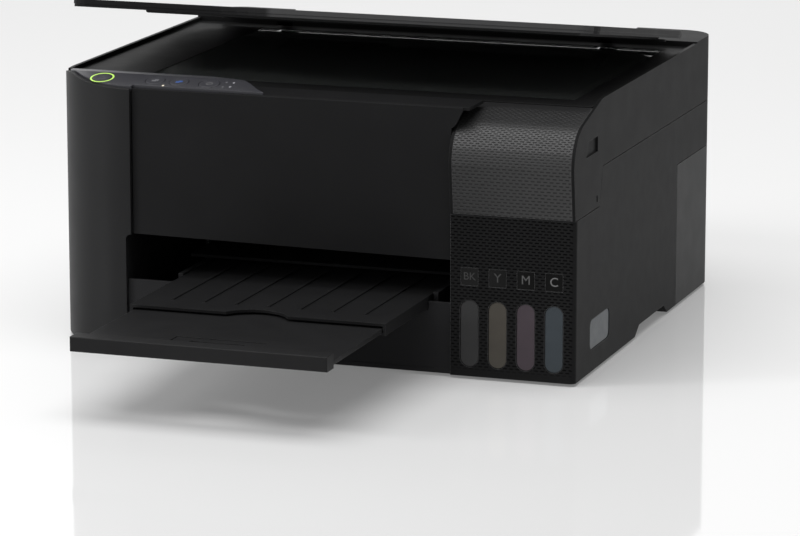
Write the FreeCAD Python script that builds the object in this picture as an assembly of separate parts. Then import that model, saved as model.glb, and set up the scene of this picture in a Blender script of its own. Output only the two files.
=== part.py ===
import FreeCAD, Part
import os
from math import asin, atan2, cos, degrees, hypot, pi, radians, sin, sqrt, tan

# Flatbed ink-tank printer, copier and scanner.
# Millimetres. X runs to the right seen from the front, Y to the back, Z up.
# The origin is on the table, under the middle of the casing.

V = FreeCAD.Vector

# ---------------------------------------------------------------- overall sizes
case_width = 375.0        # outer width of the casing
case_depth = 343.5        # front of the casing to its back
front_reach = 162.5       # origin to the foremost face of the casing
rim_height = 179.0        # top rim of the scanner unit above the table
foot_height = 2.0         # floor of the casing above the table
wall = 2.5                # moulded casing wall
seam = 0.6                # open line between two casing pieces
slack = 0.3               # gap between faces that slide past each other
running = 0.05            # radial play of a shaft in its hole

front_left_radius = 68.0
rear_radius = 22.0
front_right_radius = 4.0

# ---------------------------------------------------------------- casing seams
scanner_seam = 134.2      # height where the scanner unit lifts off
hood_seam = 108.7         # height of the line under the tank hood
rear_seam = 101.8         # top of the rear lower cover
rear_crease = 82.0        # depth where the rear cover begins on the sides
left_seam = -119.0        # line between left casing and front panel
tank_left = 103.4         # left face of the tank bay
tank_bay_back = -70.0     # back wall of the tank bay
tall_back = -108.6        # back of the tall front left corner
rim_drop = 1.2            # casing rim below the control panel's top
hood_step_low = -108.5    # depth of the hood seam's rear end
hood_step_high = -101.5   # depth of the scanner seam's front end

# ---------------------------------------------------------------- front opening
panel_recess = 3.0        # front panel behind the foremost casing face
opening_top = 79.7
opening_left = -123.0
opening_radius = 3.5
apron_top = 49.0
apron_thickness = 2.5

# ---------------------------------------------------------------- scanner unit
bed_top = 176.0
bed_thickness = 2.8
deck_top = 180.0
deck_thickness = 3.2
hood_front_swell = 4.5
hood_curve_radius = 27.0
hood_curve_height = 142.0
hood_roof_slope = 14.3    # degrees
hood_roof_back = -120.0
hood_cheek = 2.0
glass_left = -131.0
glass_right = 167.0
glass_front = -99.0
glass_thickness = 2.8
tub_bottom = 136.5
tub_wall = 2.0
scan_rod_radius = 3.0
scan_rod_depth = 8.0
scan_rod_height = 152.0
scan_bar_width = 14.0
scan_home = 150.0

# ---------------------------------------------------------------- control panel
control_back = -107.0
control_ridge = -138.0    # depth of the panel's highest line
control_front_height = 178.8
control_slope = 12.0      # degrees, towards the front
control_tip = -27.0
control_thickness = 2.7
button_height = 2.4
button_proud = 0.2
dish_radius = 40.0
dish_depth = 0.2
power_radius = 6.2
copy_radius = 6.5
stop_radius = 7.0
power_place = (-144.5, -147.6)
mono_place = (-106.6, -147.6)
color_place = (-89.7, -147.4)
stop_place = (-68.3, -147.7)

# ---------------------------------------------------------------- lid
lid_thickness = 5.2
lid_rest_angle = 9.4      # degrees above closed
lid_front_left = -108.0
lid_front_right = -126.0
lid_corner = 45.0
lid_step = -36.0          # right end of the step in the lid's front edge
lid_border = 6.0
lid_recess = 2.7
lid_axis_height = 178.4
lid_pin_radius = 2.0
lid_arm_place = 120.0
lid_arm_width = 11.0
pad_thickness = 4.3

# ---------------------------------------------------------------- scanner hinge
unit_axis_height = 171.0
unit_pin_radius = 2.0
unit_post_place = 160.0
unit_post_width = 10.0
unit_post_radius = 3.7
screw_radius = 1.5

# ---------------------------------------------------------------- ink tanks
tank_pitch = 19.0
tank_first = 116.4
tank_width = 17.6
tank_front_gap = 0.5
tank_back = -74.0
tank_bottom = 6.0
tank_top = 94.0
tank_wall = 2.0
neck_radius = 6.0
neck_height = 6.0
neck_depth = -142.0
cap_radius = 7.6
cap_height = 4.5
cap_axis_depth = -126.0
cap_pin_radius = 1.2
window_width = 12.5
window_low = 8.3
window_high = 52.6
label_size = 11.5
label_low = 62.3
side_window_front = -128.0
side_window_back = -83.0
side_window_low = 16.5
side_window_high = 36.5

# ---------------------------------------------------------------- output tray
tray_half_width = 87.0
tray_deck_top = 52.0
tray_deck = 2.0
tray_low = 44.3
tray_front = -242.0
tray_back = -95.0
extension_low = 45.8
extension_thickness = 2.8
extension_back = -200.0
bar_front = -345.0
bar_depth = 12.0
bar_half_width = 85.0
bar_low = 43.9
bar_high = 53.4
stopper_half_width = 30.0
stopper_length = 28.0
stopper_pin_radius = 0.8

# ---------------------------------------------------------------- print engine
feed_axis = (66.0, 66.0)
feed_radius = 7.0
feed_shaft_radius = 3.0
exit_axis = (-4.0, 64.0)
exit_radius = 6.0
exit_shaft_radius = 2.5
roller_half_length = 112.0
frame_sheet = 1.2
left_ear = -124.0
right_ear = 120.0
frame_half_width = 175.2
web_back = 100.0
rail_top = 130.0
rail_low = 88.0
shaft_depth = 84.0
shaft_height = 98.0
shaft_radius = 4.0
belt_height = 112.0
belt_depth = 95.0
belt_width = 4.6
belt_thickness = 1.2
pulley_radius = 6.0
drive_pulley_place = -160.0
tension_pulley_place = 165.0
carriage_home = 140.0
carriage_width = 60.0
gear_module = 1.0
feed_teeth = 44
idler_teeth = 38
exit_teeth = 20
pinion_teeth = 12
pinion_lean = 235.0       # direction from feed roller to pinion, degrees
gear_face = (-148.0, -143.0)
pickup_radius = 14.0

# ---------------------------------------------------------------- rear feeder
feeder_half_width = 130.0
feeder_low = 58.0
feeder_top = 166.0
support_half_width = 106.5
support_low = 106.5
support_top = 172.0
support_pin_radius = 2.0
extension_half_width = 60.0
guide_place = 107.0
guard_half_width = 115.0
guard_height = 163.0
guard_pin_radius = 1.5

half_width = case_width / 2
front = -front_reach
back = case_depth - front_reach
feeder_notch = back - 18.5        # casing wall in front of the feeder housing
feeder_front = feeder_notch + 0.7
feeder_back = back + 3.5
slide_plate_back = feeder_back - 7.9
unit_axis_depth = back - 6.5      # hinge line of the scanner unit
lid_axis_depth = back - 35.0      # hinge line of the lid
deck_front = back - 50.0
lid_back = deck_front - 3.0
glass_back = deck_front - 18.0


# ================================================================ basic shapes
def block(x0, x1, y0, y1, z0, z1):
    return Part.makeBox(x1 - x0, y1 - y0, z1 - z0, V(x0, y0, z0))


def rod_x(x0, x1, y, z, radius):
    return Part.makeCylinder(radius, x1 - x0, V(x0, y, z), V(1, 0, 0))


def rod_y(y0, y1, x, z, radius):
    return Part.makeCylinder(radius, y1 - y0, V(x, y0, z), V(0, 1, 0))


def rod_z(z0, z1, x, y, radius):
    return Part.makeCylinder(radius, z1 - z0, V(x, y, z0), V(0, 0, 1))


def side_profile(points, x0, x1):
    """A profile given as (y, z) points, drawn out along X."""
    corners = [V(x0, y, z) for y, z in points]
    face = Part.Face(Part.makePolygon(corners + corners[:1]))
    return face.extrude(V(x1 - x0, 0, 0))


def plan_plate(points, z0, z1):
    """An outline given as (x, y) points, drawn up along Z."""
    corners = [V(x, y, z0) for x, y in points]
    face = Part.Face(Part.makePolygon(corners + corners[:1]))
    return face.extrude(V(0, 0, z1 - z0))


def arc_points(centre, radius, start, end, steps):
    """Points on an arc, from the start angle to the end angle in degrees."""
    turn = (end - start) / steps
    angles = [radians(start + turn * i) for i in range(steps + 1)]
    return [(centre[0] + radius * cos(a), centre[1] + radius * sin(a)) for a in angles]


def rounded_plate(x0, x1, y0, y1, z0, z1, radii):
    """A plate with its own radius at front left, front right, back right and back left."""
    corners = [(x0, y0, 180), (x1, y0, 270), (x1, y1, 0), (x0, y1, 90)]
    edges = []
    ends = []
    for (x, y, start), radius in zip(corners, radii):
        cx = x + radius if x == x0 else x - radius
        cy = y + radius if y == y0 else y - radius
        first, middle, last = [
            V(cx + radius * cos(radians(start + a)), cy + radius * sin(radians(start + a)), z0)
            for a in (0, 45, 90)
        ]
        edges.append(Part.Arc(first, middle, last).toShape())
        ends.append((first, last))
    for i in range(4):
        edges.append(Part.LineSegment(ends[i][1], ends[(i + 1) % 4][0]).toShape())
    wire = Part.Wire(Part.__sortEdges__(edges))
    return Part.Face(wire).extrude(V(0, 0, z1 - z0))


def casing_body(z0, z1, inset):
    """The casing's plan outline, moved inwards and drawn up."""
    radii = [
        front_left_radius - inset,
        max(front_right_radius - inset, 1.0),
        rear_radius - inset,
        rear_radius - inset,
    ]
    return rounded_plate(
        -half_width + inset, half_width - inset, front + inset, back - inset, z0, z1, radii
    )


def casing_shell(z0, z1):
    return casing_body(z0, z1, 0).cut(casing_body(z0 - 1, z1 + 1, wall))


def notched_body(z0, z1, inset):
    """The casing's outline with room cut out of its back for the feeder housing."""
    half = feeder_half_width + slack + inset
    room = block(-half, half, feeder_notch - inset, back + 1, z0 - 1, z1 + 1)
    return casing_body(z0, z1, inset).cut(room)


def notched_shell(z0, z1):
    return notched_body(z0, z1, 0).cut(notched_body(z0 - 1, z1 + 1, wall))


def join(shapes):
    whole = shapes[0]
    for shape in shapes[1:]:
        whole = whole.fuse(shape)
    return whole.removeSplitter()


def mirrored(shape):
    return shape.mirror(V(0, 0, 0), V(1, 0, 0))


def turned(shape, depth, height, angle):
    """A copy turned about an axis along X; a positive angle lifts the front."""
    copy = shape.copy()
    copy.rotate(V(0, depth, height), V(1, 0, 0), -angle)
    return copy


def slot_x(x, width, low, high, y0, y1):
    """An upright slot with round ends, cut through a wall that faces the front."""
    radius = width / 2
    body = block(x - radius, x + radius, y0, y1, low + radius, high - radius)
    return join([
        body,
        rod_y(y0, y1, x, low + radius, radius),
        rod_y(y0, y1, x, high - radius, radius),
    ])


# ================================================================ hood profile
def hood_outline(inset):
    """The hood's outer side profile from its seam up to its roof, as (y, z) points."""
    radius = hood_curve_radius - inset
    centre = (front - hood_front_swell + hood_curve_radius, hood_curve_height)
    foot = (front - 0.7 + inset, hood_seam + seam / 2)
    curve = arc_points(centre, radius, 180, 90 + hood_roof_slope, 10)
    end_y, end_z = curve[-1]
    rise = tan(radians(hood_roof_slope))
    return [foot] + curve, (end_y, end_z, rise)


def hood_roof_point(y, inset):
    end_y, end_z, rise = hood_outline(inset)[1]
    return (y, end_z + (y - end_y) * rise)


def tank_hood():
    """The patterned skin over the ink tanks, between two cheeks."""
    outer = hood_outline(0)[0] + [hood_roof_point(hood_roof_back, 0)]
    inner = hood_outline(wall)[0] + [hood_roof_point(hood_roof_back, wall)]
    skin = side_profile(
        outer + inner[::-1], tank_left + hood_cheek + 0.1, half_width - hood_cheek - 0.1
    )
    return skin


# ================================================================ lower casing
def left_casing():
    """Left side of the casing, tall at the rounded front corner."""
    right = left_seam - seam / 2
    side_top = scanner_seam - seam / 2
    rim = [(tall_back, foot_height), (front - 1, foot_height)] + control_line(rim_drop, tall_back)
    tall = casing_shell(foot_height, rim_height + 10).common(
        side_profile(rim, -half_width - 1, right)
    )
    low = casing_shell(foot_height, side_top).common(
        block(-half_width - 1, right, tall_back, rear_crease - seam / 2, foot_height, side_top)
    )
    wrap = rear_wrap(-half_width - 1, -feeder_half_width - seam / 2)
    closing_top = control_front_height - control_thickness - 1.4
    inner = block(right - wall, right, front + wall, tall_back, opening_top, closing_top)
    closing = block(-half_width + wall, right, tall_back - wall, tall_back, side_top - wall, closing_top)
    exit_wall = block(
        opening_left - wall, opening_left, front + 1, -20, foot_height + 3.5, opening_top + wall
    )
    shape = join([tall, low, wrap, inner, closing, exit_wall])
    corner = block(opening_left, right + 1, front - 1, front + wall + 0.1, 0, opening_top - opening_radius)
    corner = corner.fuse(block(
        opening_left + opening_radius, right + 1, front - 1, front + wall + 0.1, 0, opening_top
    ))
    corner = corner.fuse(rod_y(
        front - 1, front + wall + 0.1, opening_left + opening_radius,
        opening_top - opening_radius, opening_radius,
    ))
    return shape.cut(corner).cut(hand_recess(-1))


def rear_wrap(x0, x1):
    """The band of side casing that runs round a rear corner above the rear cover."""
    low = rear_seam + seam / 2
    high = scanner_seam - seam / 2
    band = notched_shell(low, high)
    return band.common(block(x0, x1, rear_crease - seam / 2, back + 1, low, high))


def hand_recess(side):
    """The shallow arch under each side where a hand lifts the printer."""
    outline = [(-20, -1), (-20, 2.5), (-10, 8.4), (52, 8.4), (60, 2.5), (60, -1)]
    recess = side_profile(outline, half_width - 14, half_width + 1)
    return recess if side > 0 else mirrored(recess)


def right_casing():
    """Right side of the casing with the bay that holds the ink tanks."""
    side_top = scanner_seam - seam / 2
    bay_top = hood_seam - seam / 2
    shell = casing_shell(foot_height, side_top).common(
        block(tank_left, half_width + 1, front - 1, rear_crease - seam / 2, foot_height, side_top)
    )
    above_hood = [
        (front - 2, bay_top), (hood_step_low, bay_top),
        (hood_step_high, side_top), (hood_step_high, side_top + 1), (front - 2, side_top + 1),
    ]
    shell = shell.cut(side_profile(above_hood, tank_left - 1, half_width + 1))
    bay_left = block(tank_left, tank_left + wall, front + wall, tank_bay_back, foot_height, bay_top)
    bay_back = block(
        tank_left, half_width - wall, tank_bay_back - wall, tank_bay_back, foot_height, tank_top - 10
    )
    bay_floor = block(
        tank_left, half_width - wall, front + wall, tank_bay_back, foot_height, foot_height + wall
    )
    wrap = rear_wrap(feeder_half_width + seam / 2, half_width + 1)
    shape = join([shell, bay_left, bay_back, bay_floor, wrap])
    for i in range(4):
        x = tank_first + i * tank_pitch
        shape = shape.cut(slot_x(x, window_width, window_low, window_high, front - 1, front + wall + 0.1))
        shape = shape.cut(label_pocket(x))
    return shape.cut(side_window(0)).cut(hand_recess(1))


def label_pocket(x):
    half = label_size / 2
    return block(x - half, x + half, front - 1, front + 0.6, label_low, label_low + label_size)


def side_window(shrink):
    """The rounded opening beside the last tank, or the lens that fills it."""
    x0 = half_width - wall - 0.1
    x1 = half_width + (1 if shrink == 0 else -0.4)
    y0 = side_window_front + shrink
    y1 = side_window_back - shrink
    z0 = side_window_low + shrink
    z1 = side_window_high - shrink
    radius = 5.0 - shrink
    inner = block(x0, x1, y0 + radius, y1 - radius, z0, z1)
    outer = block(x0, x1, y0, y1, z0 + radius, z1 - radius)
    corners = [
        rod_x(x0, x1, y, z, radius) for y in (y0 + radius, y1 - radius) for z in (z0 + radius, z1 - radius)
    ]
    return join([inner, outer] + corners)


def rear_casing():
    """Rear lower cover with the feeder housing and the two posts of the scanner hinge."""
    top = rear_seam - seam / 2
    shell = casing_shell(foot_height, feeder_low + 1).fuse(notched_shell(feeder_low, top))
    shell = shell.common(
        block(-half_width - 1, half_width + 1, rear_crease + seam / 2, back + 1, foot_height, top)
    )
    w = feeder_half_width
    mouth = block(
        -w + wall, w - wall, feeder_notch - wall - 1, feeder_notch + 1, feeder_low + wall, top + 1
    )
    reach = w + slack + wall
    floor = block(-reach, reach, feeder_notch - 1, back - 1, feeder_low, feeder_low + wall)
    floor = floor.fuse(block(-w, w, back - 2, feeder_back, feeder_low, feeder_low + wall))
    rear_wall = block(-w, w, feeder_back - wall, feeder_back, feeder_low, feeder_top - 16)
    side = block(w - wall, w, feeder_notch - wall, feeder_back, feeder_low, scanner_seam - 1)
    side_high = block(w - wall, w, feeder_front, feeder_back, scanner_seam - 2, feeder_top)
    front_wall = block(-w, w, feeder_front, feeder_front + 2, scanner_seam - 4, feeder_top - 6)
    boss = block(
        support_half_width + 1, support_half_width + 6, feeder_back - 6.5, feeder_back,
        support_low - 6, support_low + 5.5,
    )
    shape = join([
        shell.cut(mouth), floor, rear_wall, side, side_high, front_wall, boss,
        mirrored(side), mirrored(side_high), mirrored(boss),
    ])
    gate = support_half_width + 1
    shape = shape.cut(block(
        -gate, gate, feeder_back - wall - 1, feeder_back + 1, support_low - 4, feeder_top
    ))
    shape = shape.cut(rod_x(-w, w, support_axis_depth(), support_low, support_pin_radius + running))
    shape = shape.cut(rod_x(-w - 1, w + 1, guard_axis_depth(), guard_height, guard_pin_radius + running))
    posts = [hinge_post(), mirrored(hinge_post())]
    shape = join([shape] + posts)
    for x, z in screw_places():
        shape = shape.cut(rod_y(back - wall - 1, back + 1, x, z, screw_radius + running))
    for x0, x1, z0, z1 in (inlet_hole(), usb_hole()):
        shape = shape.cut(block(x0 - slack, x1 + slack, back - wall - 1, back + 1, z0 - slack, z1 + slack))
    return shape


def hinge_post():
    """An upright post with an eye for the scanner unit's hinge pin."""
    x0 = unit_post_place - unit_post_width / 2
    x1 = unit_post_place + unit_post_width / 2
    y0 = unit_axis_depth - unit_post_radius
    y1 = unit_axis_depth + unit_post_radius
    stem = block(x0, x1, y0, y1, rear_seam - 14, unit_axis_height)
    root = block(x0, x1, y0, back - wall + 0.5, rear_seam - 14, rear_seam - 2)
    eye = rod_x(x0, x1, unit_axis_depth, unit_axis_height, unit_post_radius)
    hole = rod_x(x0 - 1, x1 + 1, unit_axis_depth, unit_axis_height, unit_pin_radius + running)
    return join([stem, root, eye]).cut(hole)


def inlet_hole():
    return (132.0, 156.0, 20.0, 38.0)


def usb_hole():
    return (-160.0, -148.0, 60.0, 71.0)


def base_chassis():
    """Floor pan with the front apron, tray rails and the posts that carry the engine."""
    inset = wall + slack
    floor = casing_body(foot_height, foot_height + 3, inset)
    floor = floor.cut(block(
        tank_left - slack, half_width, front, tank_bay_back + slack, foot_height - 1, foot_height + 4
    ))
    floor = floor.cut(hand_recess(1)).cut(hand_recess(-1))
    y0 = front + panel_recess
    y1 = y0 + apron_thickness
    apron = block(opening_left + slack, tank_left - slack, y0, y1, foot_height, apron_top)
    notch = tray_half_width + 0.5
    apron = apron.cut(block(-notch, notch, y0 - 1, y1 + 1, bar_low - 0.6, apron_top + 1))
    pieces = [floor, apron]
    rail_front = front + panel_recess + 10
    for side in (1, -1):
        outer = tray_half_width + 4
        ledge = block(outer - 10, outer, rail_front, -1, tray_low - 2.3, tray_low - slack)
        web = block(outer - 3.4, outer, rail_front, -1, foot_height, tray_deck_top + 1)
        pieces += [ledge, web] if side > 0 else [mirrored(ledge), mirrored(web)]
    for x in (left_ear, right_ear):
        for y in (-6, 86):
            pieces.append(block(x - 2.4, x + 3.6, y - 5, y + 5, foot_height, 40))
    return join(pieces)


def foot_places():
    x = half_width - 40
    return [(0, 0), (-x, front + 50), (x, front + 24), (-x, back - 28), (x, back - 28)]


def rubber_feet():
    feet = []
    for x, y in foot_places():
        feet.append(rod_z(0, foot_height, x, y, 8.0))
    return Part.Compound(feet)


def casing_screws():
    """Screws along the back edge of the rear cover and feeder housing."""
    screws = []
    for x, z in screw_places():
        shank = rod_y(back - wall - 0.8, back, x, z, screw_radius)
        head = rod_y(back, back + 1.4, x, z, 3.2)
        slot = block(x - 2.2, x + 2.2, back + 0.8, back + 2, z - 0.5, z + 0.5)
        cross = block(x - 0.5, x + 0.5, back + 0.8, back + 2, z - 2.2, z + 2.2)
        screws.append(join([shank, head]).cut(slot).cut(cross))
    return screws


def screw_places():
    return [(x, z) for x in (-140.0, 140.0) for z in (12.0, 92.0)]


# ================================================================ ink tanks
def ink_tank(index):
    """A hollow see-through tank with a filler neck, a front window boss and cap ears."""
    x = tank_first + index * tank_pitch
    half = tank_width / 2
    tank_front = front + wall + tank_front_gap
    outer = block(x - half, x + half, tank_front, tank_back, tank_bottom, tank_top)
    inner = block(
        x - half + tank_wall, x + half - tank_wall, tank_front + tank_wall,
        tank_back - tank_wall, tank_bottom + tank_wall, tank_top - tank_wall,
    )
    neck = rod_z(tank_top, tank_top + neck_height, x, neck_depth, neck_radius)
    bore = rod_z(tank_top - tank_wall - 1, tank_top + neck_height + 1, x, neck_depth, neck_radius - 2)
    boss = slot_x(
        x, window_width - 2 * slack, window_low + slack, window_high - slack,
        front + 0.5, tank_front,
    )
    ears = []
    for side in (-1, 1):
        ear_x = x + side * (half - 1.5)
        ears.append(block(
            ear_x - 1, ear_x + 1, cap_axis_depth - 2.5, cap_axis_depth + 2.5,
            tank_top, cap_axis_height() + 2.2,
        ))
    spout = rod_y(tank_back, tank_back + 5, x, tank_top - 6, 2.4)
    shape = join([outer, neck, boss, spout] + ears)
    pin_hole = rod_x(x - half, x + half, cap_axis_depth, cap_axis_height(), cap_pin_radius + running)
    shape = shape.cut(inner).cut(bore).cut(pin_hole)
    if index == 3:
        lens = side_window(slack)
        reach = block(
            x + half - 0.5, half_width - wall, side_window_front + 5, tank_back - 1,
            side_window_low + 5, side_window_high - 5,
        )
        lens = lens.common(block(
            0, half_width + 1, front, tank_back + 50, side_window_low, side_window_high
        ))
        shape = join([shape, reach, lens])
    return shape


def cap_axis_height():
    return tank_top + neck_height + 0.8


def tank_cap(index):
    """A plug cap on a short arm that swings up and back on its own pin."""
    x = tank_first + index * tank_pitch
    top = tank_top + neck_height + slack
    lid = rod_z(top, top + cap_height, x, neck_depth, cap_radius)
    plug = rod_z(top - 3, top, x, neck_depth, neck_radius - 2 - slack)
    arm = block(x - 3.5, x + 3.5, neck_depth + 4, cap_axis_depth, top, top + 2)
    knuckle = rod_x(x - 3.5, x + 3.5, cap_axis_depth, cap_axis_height(), 2.0)
    half = tank_width / 2
    pin = rod_x(x - half + 0.5, x + half - 0.5, cap_axis_depth, cap_axis_height(), cap_pin_radius)
    tab = block(x - 3, x + 3, neck_depth - cap_radius - 3, neck_depth - cap_radius + 2, top + 1, top + 2.5)
    return join([lid, plug, arm, knuckle, pin, tab])


def ink_labels():
    """Small square plates set into the tank front above the windows."""
    plates = []
    for i in range(4):
        x = tank_first + i * tank_pitch
        half = label_size / 2 - 0.1
        plates.append(block(
            x - half, x + half, front + 0.1, front + 0.6, label_low + 0.1, label_low + label_size - 0.1
        ))
    return plates


def ink_tubes():
    """One tube from each tank to a connector block beside the print engine."""
    height = tank_top - 6
    tubes = []
    block_front = -4.0
    for i in range(4):
        x = tank_first + i * tank_pitch
        tube = rod_y(tank_back + 5, block_front, x, height, 2.0)
        tubes.append(tube.cut(rod_y(tank_back + 4, block_front + 1, x, height, 1.2)))
    x0 = tank_first - 6
    x1 = tank_first + 3 * tank_pitch + 6
    tubes.append(block(x0, x1, block_front, 4, height - 4, height + 4))
    tubes.append(block(x1, half_width - wall, block_front + 1, 3, height - 2, height + 2))
    return tubes


# ================================================================ scanner unit
def cheek_profile(back_line):
    """Side of the hood: its curved edge from the seam up to the rim, closed at the back."""
    curve = hood_outline(0)[0]
    return curve + [hood_roof_point(-105.5, 0), (-99.0, rim_height)] + back_line


def scanner_frame():
    """Upper casing: side walls, rim, bed plate round the glass, rear deck and hood cheeks."""
    low = scanner_seam + seam / 2
    step = hood_step_high + seam
    ring = notched_shell(low, rim_height).common(
        block(-half_width - 1, half_width + 1, step, back + 1, low, rim_height)
    )
    left_end = [
        (step, low - 1), (tall_back + 4.5, low - 1), (tall_back + seam, rim_height + 1),
        (tall_back + seam, rim_height + 2), (step, rim_height + 2),
    ]
    filler = casing_shell(low, rim_height).common(side_profile(left_end, -half_width - 1, 0))
    ring = ring.fuse(filler)
    right_line = [
        (step + 6, rim_height), (step + 6, low), (hood_step_high - seam, low),
        (hood_step_low - seam, hood_seam + seam / 2),
    ]
    cheek = side_profile(cheek_profile(right_line), half_width - hood_cheek, half_width)
    left_line = [(hood_roof_back + 2, hood_seam + seam / 2)]
    left_curve = hood_outline(0)[0] + [hood_roof_point(hood_roof_back + 2, 0)] + left_line
    left_cheek = side_profile(left_curve, tank_left, tank_left + hood_cheek)
    grip = block(half_width - 1.4, half_width + 1, -136, -114, 146, 156)
    ramp = side_profile([(-140, 146), (-136, 146), (-136, 156)], half_width - 1.4, half_width + 1)
    grip = grip.fuse(ramp)
    latch_slot = block(half_width - hood_cheek - 1, half_width + 1, -116, -113.6, 112.5, 117)
    cheek = cheek.cut(grip).cut(latch_slot)
    shape = join([ring, cheek, left_cheek, bed_plate(), rear_deck()])
    for side in (1, -1):
        x = side * unit_post_place
        half = unit_post_width / 2 + 1.5
        shape = shape.cut(block(
            x - half, x + half, back - wall - 1, back + 1, low - 1, deck_top - deck_thickness
        ))
        arm_half = lid_arm_width / 2 + slack
        arm_x = side * lid_arm_place
        shape = shape.cut(block(
            arm_x - arm_half, arm_x + arm_half, deck_front - 1, lid_axis_depth + 6,
            deck_top - deck_thickness - 4, deck_top + 1,
        ))
    return shape


def bed_plate():
    """The flat plate round the scan glass, stepped at the front for the control panel."""
    low = bed_top - bed_thickness
    plate = casing_body(low, bed_top, wall)
    keep = [
        (-half_width, tall_back + 2), (left_seam + 1, tall_back + 2),
        (left_seam + 1, control_back - 4), (control_tip - 57, control_back - 4),
        (control_tip - 35, hood_roof_back - 7),
        (tank_left - 1, hood_roof_back - 7), (tank_left - 1, hood_roof_back + 0.1),
        (half_width, hood_roof_back + 0.1), (half_width, deck_front + 1), (-half_width, deck_front + 1),
    ]
    plate = plate.common(plan_plate(keep, low, bed_top))
    glass_hole = block(
        glass_left - slack, glass_right + slack, glass_front - slack, glass_back + slack,
        low - 1, bed_top + 1,
    )
    beam_front = front + panel_recess + apron_thickness + 0.1
    beam = block(
        left_seam + 1, tank_left - 1, beam_front, hood_roof_back - 2,
        bed_top - 3.2, bed_top - 0.6,
    )
    frame = join([plate.cut(glass_hole), beam])
    lugs = []
    for x in (-100, -20, 60):
        lugs.append(block(x - 4, x + 4, beam_front, beam_front + 6, bed_top - 15, bed_top - 2))
    return join([frame] + lugs)


def rear_deck():
    """Raised deck behind the lid, with the eyes for the lid's hinge pins."""
    low = deck_top - deck_thickness
    deck = notched_body(low, deck_top, 0).common(
        block(-half_width, half_width, deck_front, back, low, deck_top)
    )
    riser = block(
        -half_width + wall, half_width - wall, deck_front, deck_front + 2.5,
        bed_top - bed_thickness, deck_top,
    )
    eyes = []
    for side in (1, -1):
        for edge in (-1, 1):
            x = side * lid_arm_place + edge * (lid_arm_width / 2 + slack + 1.5)
            eyes.append(block(
                x - 1.5, x + 1.5, lid_axis_depth - 5, lid_axis_depth + 6,
                lid_axis_height - 4.5, deck_top,
            ))
    shape = join([deck, riser] + eyes)
    for side in (1, -1):
        x = side * lid_arm_place
        shape = shape.cut(rod_x(x - 10, x + 10, lid_axis_depth, lid_axis_height, lid_pin_radius + running))
    return shape


def front_panel():
    """The large plain panel above the paper exit, with a small lug over the hood's edge."""
    y0 = front + panel_recess
    y1 = y0 + apron_thickness
    left = left_seam + seam / 2
    right = tank_left - seam
    top = rim_height - 1.7
    low = opening_top + 0.4
    outline = [
        (left, low), (left + 70, low - 0.9), (right - 70, low - 1.9), (right, low - 2.6),
        (right, 163.7), (right + 2, 165), (right + 3.4, 167), (right + 8, top - 1),
        (right + 8, top), (left, top),
    ]
    corners = [V(x, y0, z) for x, z in outline]
    face = Part.Face(Part.makePolygon(corners + corners[:1]))
    panel = face.extrude(V(0, y1 - y0, 0))
    lip = block(
        control_tip - 31, tank_left + 11, y1 - 0.5, hood_roof_back - 8, bed_top - 0.5, top + 0.4
    )
    beside = [(x + 2 * seam, y) for x, y in control_outline(0)]
    lip = lip.cut(plan_plate(beside, bed_top - 1, rim_height))
    side = block(left, left + wall, y1 - 0.5, y1 + 22, low + 6, bed_top - 6)
    bottom_lip = block(left + 4, right - 4, y1 - 0.5, y1 + 8, low + 0.6, low + 2.8)
    return join([panel, lip, side, bottom_lip])


def control_outline(inset):
    """Plan of the control panel: rounded front left corner and a swept right end."""
    x0 = -half_width + wall + 0.6 + inset
    y0 = front + wall + 0.6 + inset
    radius = front_left_radius - wall - 0.6 - inset
    start = 180 + degrees(asin((y0 + radius - control_back) / radius))
    corner = arc_points((x0 + radius, y0 + radius), radius, start, 270, 12)
    step_front = front + panel_recess + apron_thickness + 0.3
    sweep = [
        (left_seam, y0), (left_seam + 0.01, step_front),
        (control_tip, step_front), (control_tip - 7, -151), (control_tip - 14, -143.5),
        (control_tip - 23, -136), (control_tip - 34, -124), (control_tip - 45, -113),
        (control_tip - 55, control_back),
    ]
    return corner + sweep


def control_height(y):
    """Height of the panel's front slope at a depth."""
    return control_front_height + (y - front - wall - 0.6) * tan(radians(control_slope))


def control_line(drop, end):
    """Side profile of the panel's top, lowered by a drop, from the front to an end depth."""
    flat = control_back - 2.5
    return [
        (front - 1, control_height(front - 1) - drop),
        (control_ridge, control_height(control_ridge) - drop),
        (flat, rim_height - drop), (end, rim_height - drop),
    ]


def on_slope(shape, x, y):
    """Tip a shape made at the origin to the panel's slope and move it there."""
    tipped = shape.copy()
    tipped.rotate(V(0, 0, 0), V(1, 0, 0), control_slope)
    tipped.translate(V(x, y, control_height(y)))
    return tipped


def control_panel():
    """A wedge that slopes to the front from a low ridge, with round holes for the buttons."""
    floor = bed_top + slack
    low = [
        (control_back, floor), (front + 8, floor),
        (front - 1, control_height(front - 1) - control_thickness),
    ]
    wedge = side_profile(control_line(0, control_back) + low, -half_width, control_tip + 1)
    panel = plan_plate(control_outline(0), bed_top - 10, rim_height + 10).common(wedge)
    for (x, y), radius in button_places():
        panel = panel.cut(on_slope(rod_z(-12, 2, 0, 0, radius + slack), x, y))
    return panel


def button_places():
    return (
        (power_place, power_radius), (mono_place, copy_radius),
        (color_place, copy_radius), (stop_place, stop_radius),
    )


def button(place, radius):
    """A round push button with a rounded rim and a shallow dish."""
    cap = rod_z(button_proud - button_height, button_proud, 0, 0, radius)
    rims = [e for e in cap.Edges if abs(e.CenterOfMass.z - button_proud) < 0.01]
    cap = cap.makeFillet(0.4, rims)
    dish = Part.makeSphere(dish_radius, V(0, 0, button_proud + dish_radius - dish_depth))
    return on_slope(cap.cut(dish), *place)


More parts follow.
